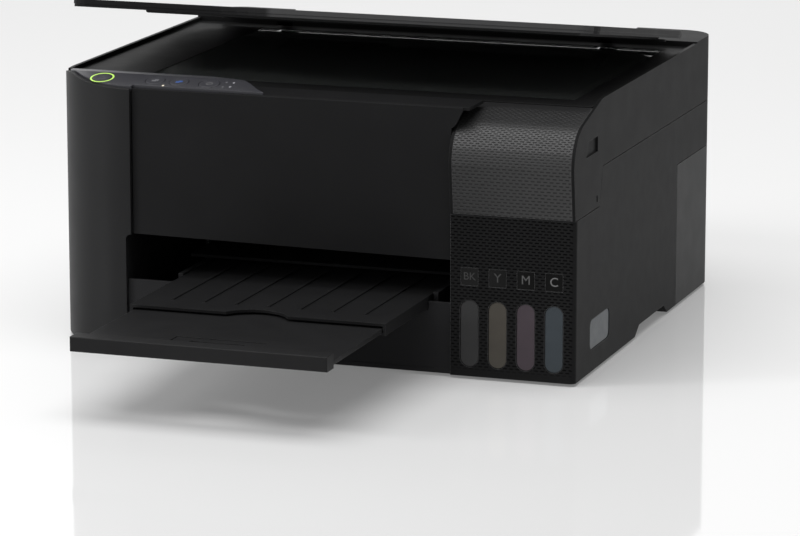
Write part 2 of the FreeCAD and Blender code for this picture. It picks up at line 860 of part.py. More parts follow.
def scanner_tub():
    """The shallow tray under the glass that the scan bar travels in."""
    x1 = half_width - wall - 1.5
    y0 = glass_front - 1
    y1 = deck_front - 3
    top = bed_top - bed_thickness
    outer = rounded_plate(-x1, x1, y0, y1, tub_bottom, top, [3, 3, 3, 3])
    inner = rounded_plate(
        -x1 + tub_wall, x1 - tub_wall, y0 + tub_wall, y1 - tub_wall, tub_bottom + tub_wall,
        top + 1, [1.5, 1.5, 1.5, 1.5],
    )
    tub = outer.cut(inner)
    return tub.cut(rod_x(-x1 - 1, x1 + 1, scan_rod_depth, scan_rod_height, scan_rod_radius))


def scan_glass():
    low = bed_top - bed_thickness
    z0 = low + 0.1
    return block(glass_left, glass_right, glass_front, glass_back, z0, z0 + glass_thickness - 0.3)


def scan_rod():
    x1 = half_width - wall - 1.5
    return rod_x(-x1, x1, scan_rod_depth, scan_rod_height, scan_rod_radius)


def scan_carriage():
    """The scan bar under the glass, on a sleeve that runs along the rod."""
    half = scan_bar_width / 2
    top = bed_top - bed_thickness - 1.2
    bar = block(
        scan_home - half, scan_home + half, glass_front + 4, glass_back - 4,
        scan_rod_height + 7, top,
    )
    lens = block(scan_home - 3, scan_home + 3, glass_front + 8, glass_back - 8, top - 0.6, top + 1)
    cradle = block(
        scan_home - half - 4, scan_home + half + 4, scan_rod_depth - 9, scan_rod_depth + 9,
        scan_rod_height - 7, scan_rod_height + 8,
    )
    bore = rod_x(scan_home - 20, scan_home + 20, scan_rod_depth, scan_rod_height, scan_rod_radius + running)
    return join([bar, cradle]).cut(lens).cut(bore)


def scanner_hinges():
    """Two brackets under the rear deck whose pins turn in the posts of the casing."""
    low = deck_top - deck_thickness
    brackets = []
    for side in (1, -1):
        x = side * unit_post_place
        half = unit_post_width / 2
        pin = rod_x(x - half - 3.5, x + half + 3.5, unit_axis_depth, unit_axis_height, unit_pin_radius)
        plates = []
        for edge in (-1, 1):
            px = x + edge * (half + 2.2)
            plates.append(block(
                px - 1.2, px + 1.2, unit_axis_depth - 3.4, unit_axis_depth + 3.4,
                unit_axis_height - 3.4, low,
            ))
        brackets.append(join([pin] + plates))
    return brackets


# ================================================================ lid
def lid_outline(inset):
    """Plan of the closed lid, with a lip at the front right and round rear corners."""
    x = half_width - inset
    left_front = lid_front_left + inset
    right_front = lid_front_right + inset
    rear = lid_back - inset
    corner = lid_corner - inset
    small = max(12.0 - inset, 2.0)
    points = arc_points((-x + small, left_front + small), small, 180, 270, 5)
    points += [
        (lid_step - 42 + inset, left_front), (lid_step - 30 + inset, left_front - 1.8),
        (lid_step - 20 + inset, left_front - 7.2), (lid_step - 12 + inset, left_front - 13.5),
        (lid_step - 2 + inset, right_front),
    ]
    points += arc_points((x - small, right_front + small), small, 270, 360, 5)
    points += arc_points((x - corner, rear - corner), corner, 0, 90, 10)
    points += arc_points((-x + corner, rear - corner), corner, 90, 180, 10)
    return points


def at_rest(shape):
    """The lid's pieces are made closed and then opened to their rest angle."""
    return turned(shape, lid_axis_depth, lid_axis_height, lid_rest_angle)


def lid_low():
    return rim_height + slack


def lid_shell():
    low = lid_low()
    top = low + lid_thickness
    upper = plan_plate(lid_outline(0.3), low + 2.0, top)
    skirt = plan_plate(lid_outline(0.8), low, low + 2.1)
    recess = plan_plate(lid_outline(lid_border), low - 1, low + lid_recess)
    shape = join([upper, skirt]).cut(recess)
    for side in (1, -1):
        half = lid_arm_width / 2 + 0.1
        x = side * lid_arm_place
        shape = shape.cut(block(x - half, x + half, 96, lid_back + 1, low - 1, low + 3.2))
    return at_rest(shape)


def lid_pad():
    low = lid_low() + lid_recess - pad_thickness
    return at_rest(block(
        glass_left - 3, glass_right + 3, glass_front - 2, 94.0,
        low, low + pad_thickness - 0.05,
    ))


def lid_hinges():
    """Two arms under the lid's back edge, each with a pin across its end."""
    low = lid_low() + 0.2
    arms = []
    for side in (1, -1):
        x = side * lid_arm_place
        half = lid_arm_width / 2
        arm = block(x - half, x + half, 97, lid_axis_depth, low, low + 2.9)
        eye = rod_x(x - half, x + half, lid_axis_depth, lid_axis_height, 4.0)
        pin = rod_x(x - half - 3, x + half + 3, lid_axis_depth, lid_axis_height, lid_pin_radius)
        arms.append(at_rest(join([arm, eye, pin])))
    return arms


# ================================================================ output tray
def output_tray():
    """The first tray stage: a deck with side flanges and lips that hold the second."""
    w = tray_half_width
    top = tray_deck_top
    deck = block(-w, w, tray_front, tray_back, top - tray_deck, top)
    pieces = [deck]
    for side in (1, -1):
        flange = block(w - 2, w, tray_front, tray_back, tray_low, top)
        lip = block(w - 6, w, tray_front, tray_back, tray_low, extension_low - slack)
        pieces += [flange, lip] if side > 0 else [mirrored(flange), mirrored(lip)]
    shape = join(pieces)
    cut_depth = 9.0
    finger = rod_z(top - 5, top + 1, 0, tray_front - 12, 24.0)
    ribs = []
    for i in range(-3, 4):
        ribs.append(block(i * 22 - 1, i * 22 + 1, tray_front + 20, tray_back - cut_depth, top, top + 0.8))
    return join([shape.cut(finger)] + ribs)


def stopper_axis():
    return (bar_front + bar_depth + 2.0, extension_low + extension_thickness / 2)


def tray_extension():
    """The second tray stage with the deep front bar and a well for the paper stop."""
    w = tray_half_width - 2.4
    top = extension_low + extension_thickness
    panel = block(-w, w, bar_front + bar_depth - 0.5, extension_back, extension_low, top)
    bar = block(-bar_half_width, bar_half_width, bar_front, bar_front + bar_depth, bar_low, bar_high)
    front_edges = [e for e in bar.Edges if abs(e.CenterOfMass.y - bar_front) < 0.01]
    bar = bar.makeFillet(0.8, front_edges)
    well_half = stopper_half_width + slack
    y0, z0 = stopper_axis()
    well = block(
        -well_half, well_half, y0 - 1.7, y0 + stopper_length + slack,
        extension_low - 1, top + 1,
    )
    pins = rod_x(-well_half - 2, well_half + 2, y0, z0, stopper_pin_radius + running)
    return join([panel, bar]).cut(well).cut(pins)


def tray_stopper():
    """The flip-up paper stop, lying flat in its well."""
    y0, z0 = stopper_axis()
    half = stopper_half_width
    leaf = block(-half, half, y0, y0 + stopper_length, z0 - 1.0, z0 + 1.0)
    window = block(-half + 12, half - 12, y0 + 10, y0 + stopper_length - 6, z0 - 2, z0 + 2)
    knuckle = rod_x(-half, half, y0, z0, 1.2)
    pin = rod_x(-half - 1.8, half + 1.8, y0, z0, stopper_pin_radius)
    return join([leaf.cut(window), knuckle, pin])


# ================================================================ gears
def involute_point(base, roll):
    """A point on an involute of a base circle, as (radius, angle)."""
    x = base * (cos(roll) + roll * sin(roll))
    y = base * (sin(roll) - roll * cos(roll))
    return hypot(x, y), atan2(y, x)


def gear_outline(teeth, phase):
    """Outline points of a spur gear; one tooth is centred on the phase angle."""
    pitch = gear_module * teeth / 2
    base = pitch * cos(radians(20))
    tip = pitch + 0.85 * gear_module
    root = pitch - 1.2 * gear_module
    roll_at_pitch = sqrt((pitch / base) ** 2 - 1)
    angle_at_pitch = involute_point(base, roll_at_pitch)[1]
    half_tooth = pi / teeth * 0.46
    roll_at_tip = sqrt((tip / base) ** 2 - 1)
    flank = [involute_point(base, roll_at_tip * share) for share in (0.0, 0.55, 1.0)]
    points = []
    for i in range(teeth):
        middle = phase + 2 * pi * i / teeth
        start = half_tooth + angle_at_pitch
        rising = [(r, middle - start + a) for r, a in flank]
        falling = [(r, middle + start - a) for r, a in flank[::-1]]
        low = min(root, base - 0.05)
        points.append((low, middle - start))
        points += rising + falling
        points.append((low, middle + start))
    return points


def gear(teeth, axis, phase):
    """A spur gear between the gear faces, on an axis along X."""
    y0, z0 = axis
    points = [(y0 + r * cos(a), z0 + r * sin(a)) for r, a in gear_outline(teeth, phase)]
    return side_profile(points, *gear_face)


def meshed_phase(teeth, phase, other_teeth, axis, other_axis):
    """Phase of a gear that meshes with a neighbour whose phase is known."""
    toward = atan2(other_axis[1] - axis[1], other_axis[0] - axis[0])
    pitch = 2 * pi / teeth
    offset = (phase - toward) % pitch
    return toward + pi - offset * teeth / other_teeth + pi / other_teeth


def idler_axis():
    """Centre of the gear between the feed roller and the exit roller."""
    y0, z0 = feed_axis
    y1, z1 = exit_axis
    span = hypot(y1 - y0, z1 - z0)
    near = gear_module * (feed_teeth + idler_teeth) / 2
    far = gear_module * (idler_teeth + exit_teeth) / 2
    along = (near ** 2 - far ** 2 + span ** 2) / (2 * span)
    rise = sqrt(max(near ** 2 - along ** 2, 0.0))
    uy, uz = (y1 - y0) / span, (z1 - z0) / span
    return (y0 + along * uy + rise * uz, z0 + along * uz - rise * uy)


def pinion_axis():
    span = gear_module * (feed_teeth + pinion_teeth) / 2
    lean = radians(pinion_lean)
    return (feed_axis[0] + span * cos(lean), feed_axis[1] + span * sin(lean))


def idler_phase():
    return meshed_phase(feed_teeth, 0.0, idler_teeth, feed_axis, idler_axis())


# ================================================================ print engine
def feed_roller():
    y, z = feed_axis
    x0, x1 = gear_face
    body = rod_x(-roller_half_length, roller_half_length, y, z, feed_radius)
    shaft = rod_x(x0 - 1.5, right_ear + 4, y, z, feed_shaft_radius)
    return join([body, shaft, gear(feed_teeth, feed_axis, 0.0)])


def exit_roller():
    y, z = exit_axis
    shaft = rod_x(gear_face[0] - 1, right_ear + 4, y, z, exit_shaft_radius)
    rings = []
    for i in range(6):
        x = -95 + 38 * i
        rings.append(rod_x(x - 6, x + 6, y, z, exit_radius))
    phase = meshed_phase(idler_teeth, idler_phase(), exit_teeth, idler_axis(), exit_axis)
    return join([shaft] + rings + [gear(exit_teeth, exit_axis, phase)])


def idler_gear():
    y, z = idler_axis()
    wheel = gear(idler_teeth, idler_axis(), idler_phase())
    return wheel.cut(rod_x(gear_face[0] - 1, gear_face[1] + 1, y, z, 2.0 + running))


def drive_pinion():
    y, z = pinion_axis()
    phase = meshed_phase(feed_teeth, 0.0, pinion_teeth, feed_axis, pinion_axis())
    wheel = gear(pinion_teeth, pinion_axis(), phase)
    return wheel.cut(rod_x(gear_face[0] - 1, gear_face[1] + 1, y, z, 1.5 + running))


def feed_motor():
    """A round motor outside the gears, with its shaft through the pinion."""
    y, z = pinion_axis()
    body = rod_x(gear_face[0] - 24, gear_face[0] - 3, y, z, 13.0)
    nose = rod_x(gear_face[0] - 3, gear_face[0] - 1.5, y, z, 5.0)
    shaft = rod_x(gear_face[0] - 2, gear_face[1] + 2.5, y, z, 1.5)
    foot = block(gear_face[0] - 22, gear_face[0] - 5, y - 9, y + 9, foot_height + 3, z - 8)
    return join([body, nose, shaft, foot])


def main_frame():
    """Sheet-metal frame: web and rail across the printer, two ears for the rollers."""
    w = frame_half_width
    web = block(-w, w, web_back - frame_sheet, web_back, rail_low, rail_top)
    rail = block(-w, w, shaft_depth - 4, web_back, rail_top - frame_sheet, rail_top)
    ends = []
    for side in (1, -1):
        end = block(w - frame_sheet, w, shaft_depth - 8, web_back, rail_low, rail_top)
        ends.append(end if side > 0 else mirrored(end))
    ear = [
        (-14, 40), (-14, 72), (74, 72), (80, 87), (web_back - 6.5, 87),
        (web_back - 6.5, 96), (web_back, 96), (web_back, 40),
    ]
    ears = [
        side_profile(ear, left_ear, left_ear + frame_sheet),
        side_profile(ear, right_ear, right_ear + frame_sheet),
    ]
    shape = join([web, rail] + ends + ears)
    for axis, radius in ((feed_axis, feed_shaft_radius), (exit_axis, exit_shaft_radius)):
        shape = shape.cut(rod_x(left_ear - 1, right_ear + 3, axis[0], axis[1], radius + running))
    shape = shape.cut(rod_x(-w - 1, w + 1, shaft_depth, shaft_height, shaft_radius))
    shape = shape.cut(rod_y(
        web_back - 3, web_back + 1, drive_pulley_place, belt_height, 4.0
    ))
    y, z = idler_axis()
    stud = rod_x(gear_face[0] - 0.5, left_ear + 0.4, y, z, 2.0)
    washer = rod_x(gear_face[1] + slack, left_ear + 0.4, y, z, 4.0)
    tension_pin = rod_y(
        belt_depth - belt_width / 2 - 0.8, web_back - frame_sheet + 0.2, tension_pulley_place,
        belt_height, 2.0,
    )
    return join([shape, stud, washer, tension_pin])


def guide_shaft():
    return rod_x(-frame_half_width, frame_half_width, shaft_depth, shaft_height, shaft_radius)


def belt_loop(radius, y0, y1):
    x0, x1 = drive_pulley_place, tension_pulley_place
    middle = block(x0, x1, y0, y1, belt_height - radius, belt_height + radius)
    return join([
        middle, rod_y(y0, y1, x0, belt_height, radius), rod_y(y0, y1, x1, belt_height, radius),
    ])


def carriage_belt():
    y0 = belt_depth - belt_width / 2
    y1 = belt_depth + belt_width / 2
    inner = pulley_radius + 0.1
    return belt_loop(inner + belt_thickness, y0, y1).cut(belt_loop(inner, y0 - 1, y1 + 1))


def pulley(place, bore):
    y0 = belt_depth - belt_width / 2 - 0.2
    y1 = belt_depth + belt_width / 2 + 0.2
    wheel = rod_y(y0, y1, place, belt_height, pulley_radius)
    for i in range(16):
        a = 2 * pi * i / 16
        wheel = wheel.cut(rod_y(
            y0 - 1, y1 + 1, place + pulley_radius * cos(a), belt_height + pulley_radius * sin(a), 0.5
        ))
    return wheel.cut(rod_y(y0 - 1, y1 + 1, place, belt_height, bore + running))


def carriage_motor():
    """The belt motor behind the web, with its shaft through the drive pulley."""
    body = rod_y(web_back + 0.1, web_back + 24, drive_pulley_place, belt_height, 14.0)
    shaft = rod_y(belt_depth - belt_width / 2 - 0.8, web_back + 1, drive_pulley_place, belt_height, 1.5)
    cap = rod_y(web_back + 24, web_back + 26, drive_pulley_place, belt_height, 6.0)
    return join([body, shaft, cap])


def print_carriage():
    """The carriage with its print head, sleeve on the guide shaft and belt tab."""
    x0 = carriage_home - carriage_width / 2
    x1 = carriage_home + carriage_width / 2
    body = block(x0, x1, 9, 75, 76.5, 122)
    hollow = block(x0 + 2.5, x1 - 2.5, 11.5, 72.5, 96, 123)
    head = block(x0 + 8, x1 - 8, 16, 50, 73.6, 77)
    sleeve = block(x0, x1, 74, shaft_depth + 7.5, shaft_height - 7.5, shaft_height + 7.5)
    tab = block(
        carriage_home - 10, carriage_home + 10, shaft_depth + 5, belt_depth + 2,
        shaft_height + 4, shaft_height + 6.3,
    )
    ports = []
    for i in range(4):
        ports.append(rod_z(94, 106, x0 + 12 + 12 * i, 40, 3.0))
    shape = join([body.cut(hollow), head, sleeve, tab] + ports)
    return shape.cut(rod_x(x0 - 1, x1 + 1, shaft_depth, shaft_height, shaft_radius + running))


def platen():
    """Ribbed paper support under the print head, running out into the exit ramp."""
    w = roller_half_length
    plate = block(-w, w, 6, 56, 64, 69)
    ribs = []
    for i in range(13):
        x = -w + 4 + i * (2 * w - 8) / 12
        ribs.append(block(x - 1, x + 1, 8, 54, 69, 71.2))
    ramp = [(-13, 54), (-13, 57), (-100, 55.5), (-100, 53.6)]
    ramp_half = tank_left - 1.4
    pieces = [plate, side_profile(ramp, -ramp_half, ramp_half)] + ribs
    strut = [(-13, 54), (-13, 57), (8, 57), (8, 66), (12, 66), (12, 54)]
    for x in (1.5 - ramp_half, 0, ramp_half - 1.5):
        pieces.append(side_profile(strut, x - 1.5, x + 1.5))
    for x0, x1 in ((left_ear + frame_sheet, -w), (w, right_ear)):
        pieces.append(block(x0, x1, 20, 40, 64, 67))
    return join(pieces)


def star_wheel_bar():
    """A bar of thin spiked wheels that press the sheet onto the exit roller."""
    bar = block(-roller_half_length, roller_half_length, -9, 1, 77, 81)
    pieces = [bar]
    for i in range(6):
        x = -95 + 38 * i
        for shift in (-3, 3):
            spikes = []
            for k in range(24):
                radius = 4.0 if k % 2 else 3.2
                a = 2 * pi * k / 24
                spikes.append((exit_axis[0] + radius * cos(a), 75.2 + radius * sin(a)))
            pieces.append(side_profile(spikes, x + shift - 0.4, x + shift + 0.4))
    end = roller_half_length - 0.1
    for x0, x1 in ((left_ear + frame_sheet, -end), (end, right_ear)):
        pieces.append(block(x0, x1, -9, 1, 71, 81))
    return join(pieces)


def capping_station():
    """Home position: caps and wiper that seal the print head."""
    x0 = right_ear + frame_sheet + 1
    tub = block(x0, 170, 12, 56, 44, 68)
    hollow = block(x0 + 3, 167, 15, 53, 52, 69)
    cap = block(carriage_home - 16, carriage_home + 16, 18, 48, 50, 71)
    cup = block(carriage_home - 14, carriage_home + 14, 20, 46, 66, 72)
    wiper = block(x0 + 4, x0 + 5.2, 18, 48, 50, 72.8)
    legs = [block(x, x + 6, 14, 54, foot_height + 3, 45) for x in (x0, 164)]
    return join([tub.cut(hollow), cap.cut(cup), wiper] + legs)


def waste_ink_box():
    """Box of absorbent pads that collects ink from head cleaning."""
    x0, x1 = 112, 172
    y0, y1 = tank_bay_back + 6, -14
    outer = block(x0, x1, y0, y1, foot_height + 3, 32)
    inner = block(x0 + 2, x1 - 2, y0 + 2, y1 - 2, foot_height + 5, 33)
    pad = block(x0 + 2.2, x1 - 2.2, y0 + 2.2, y1 - 2.2, foot_height + 5, 29)
    return [outer.cut(inner), pad]


def main_board():
    """Upright circuit board at the rear left with its data socket."""
    x = usb_hole()[0] - 1.6
    board = block(x, x + 1.6, 70, back - wall - 1, 12, 84)
    chips = [
        block(x + 1.6, x + 4.0, 82, 106, 36, 60), block(x + 1.6, x + 3.4, 112, 126, 30, 44),
        block(x + 1.6, x + 12, 126, 134, 50, 62), block(x + 1.6, x + 6, 76, 86, 66, 78),
    ]
    x0, x1, z0, z1 = usb_hole()
    socket = block(x0, x1, back - wall - 16, back - 0.3, z0, z1)
    mouth = block(x0 + 2, x1 - 2, back - 9, back + 1, z0 + 2, z1 - 2)
    stands = [block(x - 3, x, y, y + 6, foot_height + 3, 18) for y in (74, 140)]
    return [join([board] + chips), socket.cut(mouth)] + stands


def power_supply():
    """Boxed power supply at the rear right with the mains inlet."""
    box = block(120, 172, 106, back - wall - 2, foot_height + 3, 48)
    x0, x1, z0, z1 = inlet_hole()
    inlet = block(x0, x1, back - wall - 3, back - 0.3, z0, z1)
    mouth = block(x0 + 2.5, x1 - 2.5, back - 14, back + 1, z0 + 2.5, z1 - 2.5)
    pins = [rod_y(back - 14, back - 4, x, (z0 + z1) / 2, 1.2) for x in (x0 + 7, x1 - 7)]
    return [join([box, inlet]).cut(mouth)] + pins


# ================================================================ rear feeder
def support_axis_depth():
    return feeder_back - 3.2


def guard_axis_depth():
    return feeder_front + 5.3


def feeder_base():
    """Paper path from the rear slot down to the feed roller, with its side cheeks."""
    w = roller_half_length
    drop = slide_plate_back - 2
    path = [
        (slide_plate_back, 158), (slide_plate_back, 118), (138, 74), (78, 69),
        (78, 71), (137, 76.4), (drop, 119), (drop, 158),
    ]
    plate = side_profile(path, -w, w)
    cheek_low = [(slide_plate_back, 118), (138, 74), (112, 72), (112, 84), (136, 90), (162, 118)]
    cheeks = [side_profile(cheek_low, x0, x0 + 2.5) for x0 in (-w - 2.5, w)]
    feet = [
        block(x0, x0 + 8, 112, 122, foot_height + 3, 72.5) for x0 in (-w + 4, w - 12)
    ]
    shape = join([plate] + cheeks + feet)
    tower = [pickup_bearing(x) for x in (-w - 2.5, w)]
    shape = join([shape] + tower)
    y, z = pickup_axis()
    shape = shape.cut(rod_x(-w - 5, w + 5, y, z, 3.0 + running))
    return shape


def pickup_axis():
    """The pickup roller stands off the slanted plate by its radius."""
    rise = 119 - 76.4
    run = slide_plate_back - 2 - 137
    length = hypot(rise, run)
    y = 137 + 0.48 * run - (pickup_radius + 1.2) * rise / length
    z = 76.4 + 0.48 * rise + (pickup_radius + 1.2) * run / length
    return (y, z)


def pickup_bearing(x0):
    y, z = pickup_axis()
    return side_profile([(y - 6, 84), (y + 8, 84), (y + 8, z + 6), (y - 6, z + 6)], x0, x0 + 2.5)


def pickup_roller():
    y, z = pickup_axis()
    shaft = rod_x(-roller_half_length - 4, roller_half_length + 4, y, z, 3.0)
    tyres = [rod_x(x - 11, x + 11, y, z, pickup_radius) for x in (-40, 40)]
    return join([shaft] + tyres)


def paper_support():
    """The leaf that closes the back of the feeder and leans back to hold paper."""
    w = support_half_width
    y = support_axis_depth()
    leaf = block(-w, w, y - 1.3, y + 1.7, support_low + 1, support_top)
    knuckle = rod_x(-w, w, y, support_low, 2.6)
    pin = rod_x(-w - 4.5, w + 4.5, y, support_low, support_pin_radius)
    rails = []
    for side in (1, -1):
        rail = block(
            extension_half_width + slack, extension_half_width + 3, y - 4.4, y - 1.2,
            support_low + 4, support_top - 2,
        )
        rails.append(rail if side > 0 else mirrored(rail))
    grip = rod_y(y - 3, y + 3, 0, support_top + 8, 16.0)
    return join([leaf, knuckle, pin] + rails).cut(grip)


def support_extension():
    """The leaf that pulls up out of the paper support."""
    y = support_axis_depth()
    w = extension_half_width
    leaf = block(-w, w, y - 4.2, y - 1.6, support_low + 6, support_top - 3)
    window = block(-w + 20, w - 20, y - 6, y, support_low + 20, support_top - 26)
    lip = block(-18, 18, y - 4.9, y - 1.6, support_top - 6, support_top - 3)
    return join([leaf.cut(window), lip])


def edge_guide(side):
    """A paper edge guide with a foot that slides along the feeder plate."""
    y1 = slide_plate_back - 2 - slack
    x = guide_place
    fin = block(x - 1.5, x, feeder_front + 4, y1, 124, 157)
    foot = block(x - 20, x, y1 - 2, y1, 124, 134)
    shape = join([fin, foot])
    return shape if side > 0 else mirrored(shape)


def feeder_guard():
    """The flap over the rear slot that keeps things from falling in."""
    y = guard_axis_depth()
    w = guard_half_width
    leaf = block(-w, w, y, feeder_back - 8.2, guard_height - 1, guard_height + 1)
    knuckle = rod_x(-w, w, y, guard_height, 2.0)
    reach = feeder_half_width - 0.6
    pin = rod_x(-reach, reach, y, guard_height, guard_pin_radius)
    return join([leaf, knuckle, pin])


# ================================================================ all the pieces
def group(shapes):
    return Part.Compound(shapes) if isinstance(shapes, list) else shapes


def all_parts():
    tank_names = ("black", "yellow", "magenta", "cyan")
    parts = {
        "base_chassis": base_chassis(),
        "left_casing": left_casing(),
        "right_casing": right_casing(),
        "rear_casing": rear_casing(),
        "rubber_feet": rubber_feet(),
        "casing_screws": casing_screws(),
        "ink_labels": ink_labels(),
        "ink_tubes": ink_tubes(),
        "main_frame": main_frame(),
        "guide_shaft": guide_shaft(),
        "carriage_belt": carriage_belt(),
        "carriage_motor": carriage_motor(),
        "feed_motor": feed_motor(),
        "platen": platen(),
        "star_wheel_bar": star_wheel_bar(),
        "capping_station": capping_station(),
        "waste_ink_box": waste_ink_box(),
        "main_board": main_board(),
        "power_supply": power_supply(),
        "feeder_base": feeder_base(),
        "scanner_frame": scanner_frame(),
        "front_panel": front_panel(),
        "control_panel": control_panel(),
        "tank_hood": tank_hood(),
        "scanner_tub": scanner_tub(),
        "scan_glass": scan_glass(),
        "scan_rod": scan_rod(),
        "scan_carriage": scan_carriage(),
        "scanner_hinges": scanner_hinges(),
        "power_button": button(power_place, power_radius),
        "mono_copy_button": button(mono_place, copy_radius),
        "color_copy_button": button(color_place, copy_radius),
        "stop_button": button(stop_place, stop_radius),
        "lid_shell": lid_shell(),
        "lid_pad": lid_pad(),
        "lid_hinges": lid_hinges(),
        "output_tray": output_tray(),
        "tray_extension": tray_extension(),
        "tray_stopper": tray_stopper(),
        "print_carriage": print_carriage(),
        "drive_pulley": pulley(drive_pulley_place, 1.5),
        "tension_pulley": pulley(tension_pulley_place, 2.0),
        "feed_roller": feed_roller(),
        "drive_pinion": drive_pinion(),
        "idler_gear": idler_gear(),
        "exit_roller": exit_roller(),
        "pickup_roller": pickup_roller(),
        "paper_support": paper_support(),
        "support_extension": support_extension(),
        "feeder_guard": feeder_guard(),
        "edge_guide_left": edge_guide(-1),
        "edge_guide_right": edge_guide(1),
    }
    for i, name in enumerate(tank_names):
        parts["ink_tank_" + name] = ink_tank(i)
        parts["tank_cap_" + name] = tank_cap(i)
    return parts


os.makedirs("parts", exist_ok=True)
for node, shape in all_parts().items():
    group(shape).exportStep("parts/" + node + ".step")
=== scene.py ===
"""Looks of a flatbed ink-tank printer: finishes, small trim, lid mat, floor and light."""

import logging
import math
from dataclasses import dataclass, field
from enum import Enum
from typing import Any, Callable, Dict, List, Optional, Sequence, Tuple, Union

import bmesh
import bpy
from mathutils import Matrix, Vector


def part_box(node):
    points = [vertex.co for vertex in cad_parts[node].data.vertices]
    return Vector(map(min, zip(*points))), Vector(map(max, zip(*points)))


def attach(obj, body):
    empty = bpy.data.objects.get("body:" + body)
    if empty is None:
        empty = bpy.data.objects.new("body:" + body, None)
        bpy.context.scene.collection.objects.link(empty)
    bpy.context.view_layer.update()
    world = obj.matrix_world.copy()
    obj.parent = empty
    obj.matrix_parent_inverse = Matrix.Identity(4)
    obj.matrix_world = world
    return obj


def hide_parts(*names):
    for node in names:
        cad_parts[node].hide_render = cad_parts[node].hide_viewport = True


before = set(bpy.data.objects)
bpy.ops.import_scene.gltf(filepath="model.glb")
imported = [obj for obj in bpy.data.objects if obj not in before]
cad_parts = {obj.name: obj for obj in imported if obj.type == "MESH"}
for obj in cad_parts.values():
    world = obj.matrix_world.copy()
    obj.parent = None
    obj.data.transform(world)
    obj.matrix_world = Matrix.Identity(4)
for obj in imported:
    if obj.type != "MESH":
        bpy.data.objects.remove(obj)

log = logging.getLogger("printer")

Colour = Tuple[float, float, float]
Point2 = Tuple[float, float]
Point3 = Tuple[float, float, float]
MM = 0.001


# ------------------------------------------------------------------ shader expressions
class Flow:
    """An output socket that takes part in arithmetic."""

    def __init__(self, graph: "Graph", socket: bpy.types.NodeSocket) -> None:
        """Keep the socket and the graph it belongs to."""
        self.graph = graph
        self.socket = socket

    def _math(self, operation: str, first: "Value", second: "Value" = 0.0) -> "Flow":
        """Add a Math node that works on two values."""
        return self.graph.node("ShaderNodeMath", {"operation": operation}, first, second)

    def __add__(self, other: "Value") -> "Flow":
        """Sum."""
        return self._math("ADD", self, other)

    __radd__ = __add__

    def __sub__(self, other: "Value") -> "Flow":
        """Difference."""
        return self._math("SUBTRACT", self, other)

    def __rsub__(self, other: "Value") -> "Flow":
        """Difference with the number first."""
        return self._math("SUBTRACT", other, self)

    def __mul__(self, other: "Value") -> "Flow":
        """Product."""
        return self._math("MULTIPLY", self, other)

    __rmul__ = __mul__

    def __truediv__(self, other: "Value") -> "Flow":
        """Quotient."""
        return self._math("DIVIDE", self, other)

    def __abs__(self) -> "Flow":
        """Size without its sign."""
        return self._math("ABSOLUTE", self)

    def fraction(self) -> "Flow":
        """Part after the decimal point."""
        return self._math("FRACT", self)

    def floor(self) -> "Flow":
        """Whole number below."""
        return self._math("FLOOR", self)

    def most(self, other: "Value") -> "Flow":
        """Larger of two values."""
        return self._math("MAXIMUM", self, other)

    def ramp(self, low: float, high: float) -> "Flow":
        """A smooth step.

        Args:
            low: Value where the step is 0.
            high: Value where the step is 1.

        Returns:
            The step, from 0 to 1.
        """
        return self.graph.node(
            "ShaderNodeMapRange",
            {"interpolation_type": "SMOOTHSTEP", "clamp": True},
            self, low, high, 0.0, 1.0,
        )


Value = Union[Flow, float]
Tint = Union[Flow, Colour]


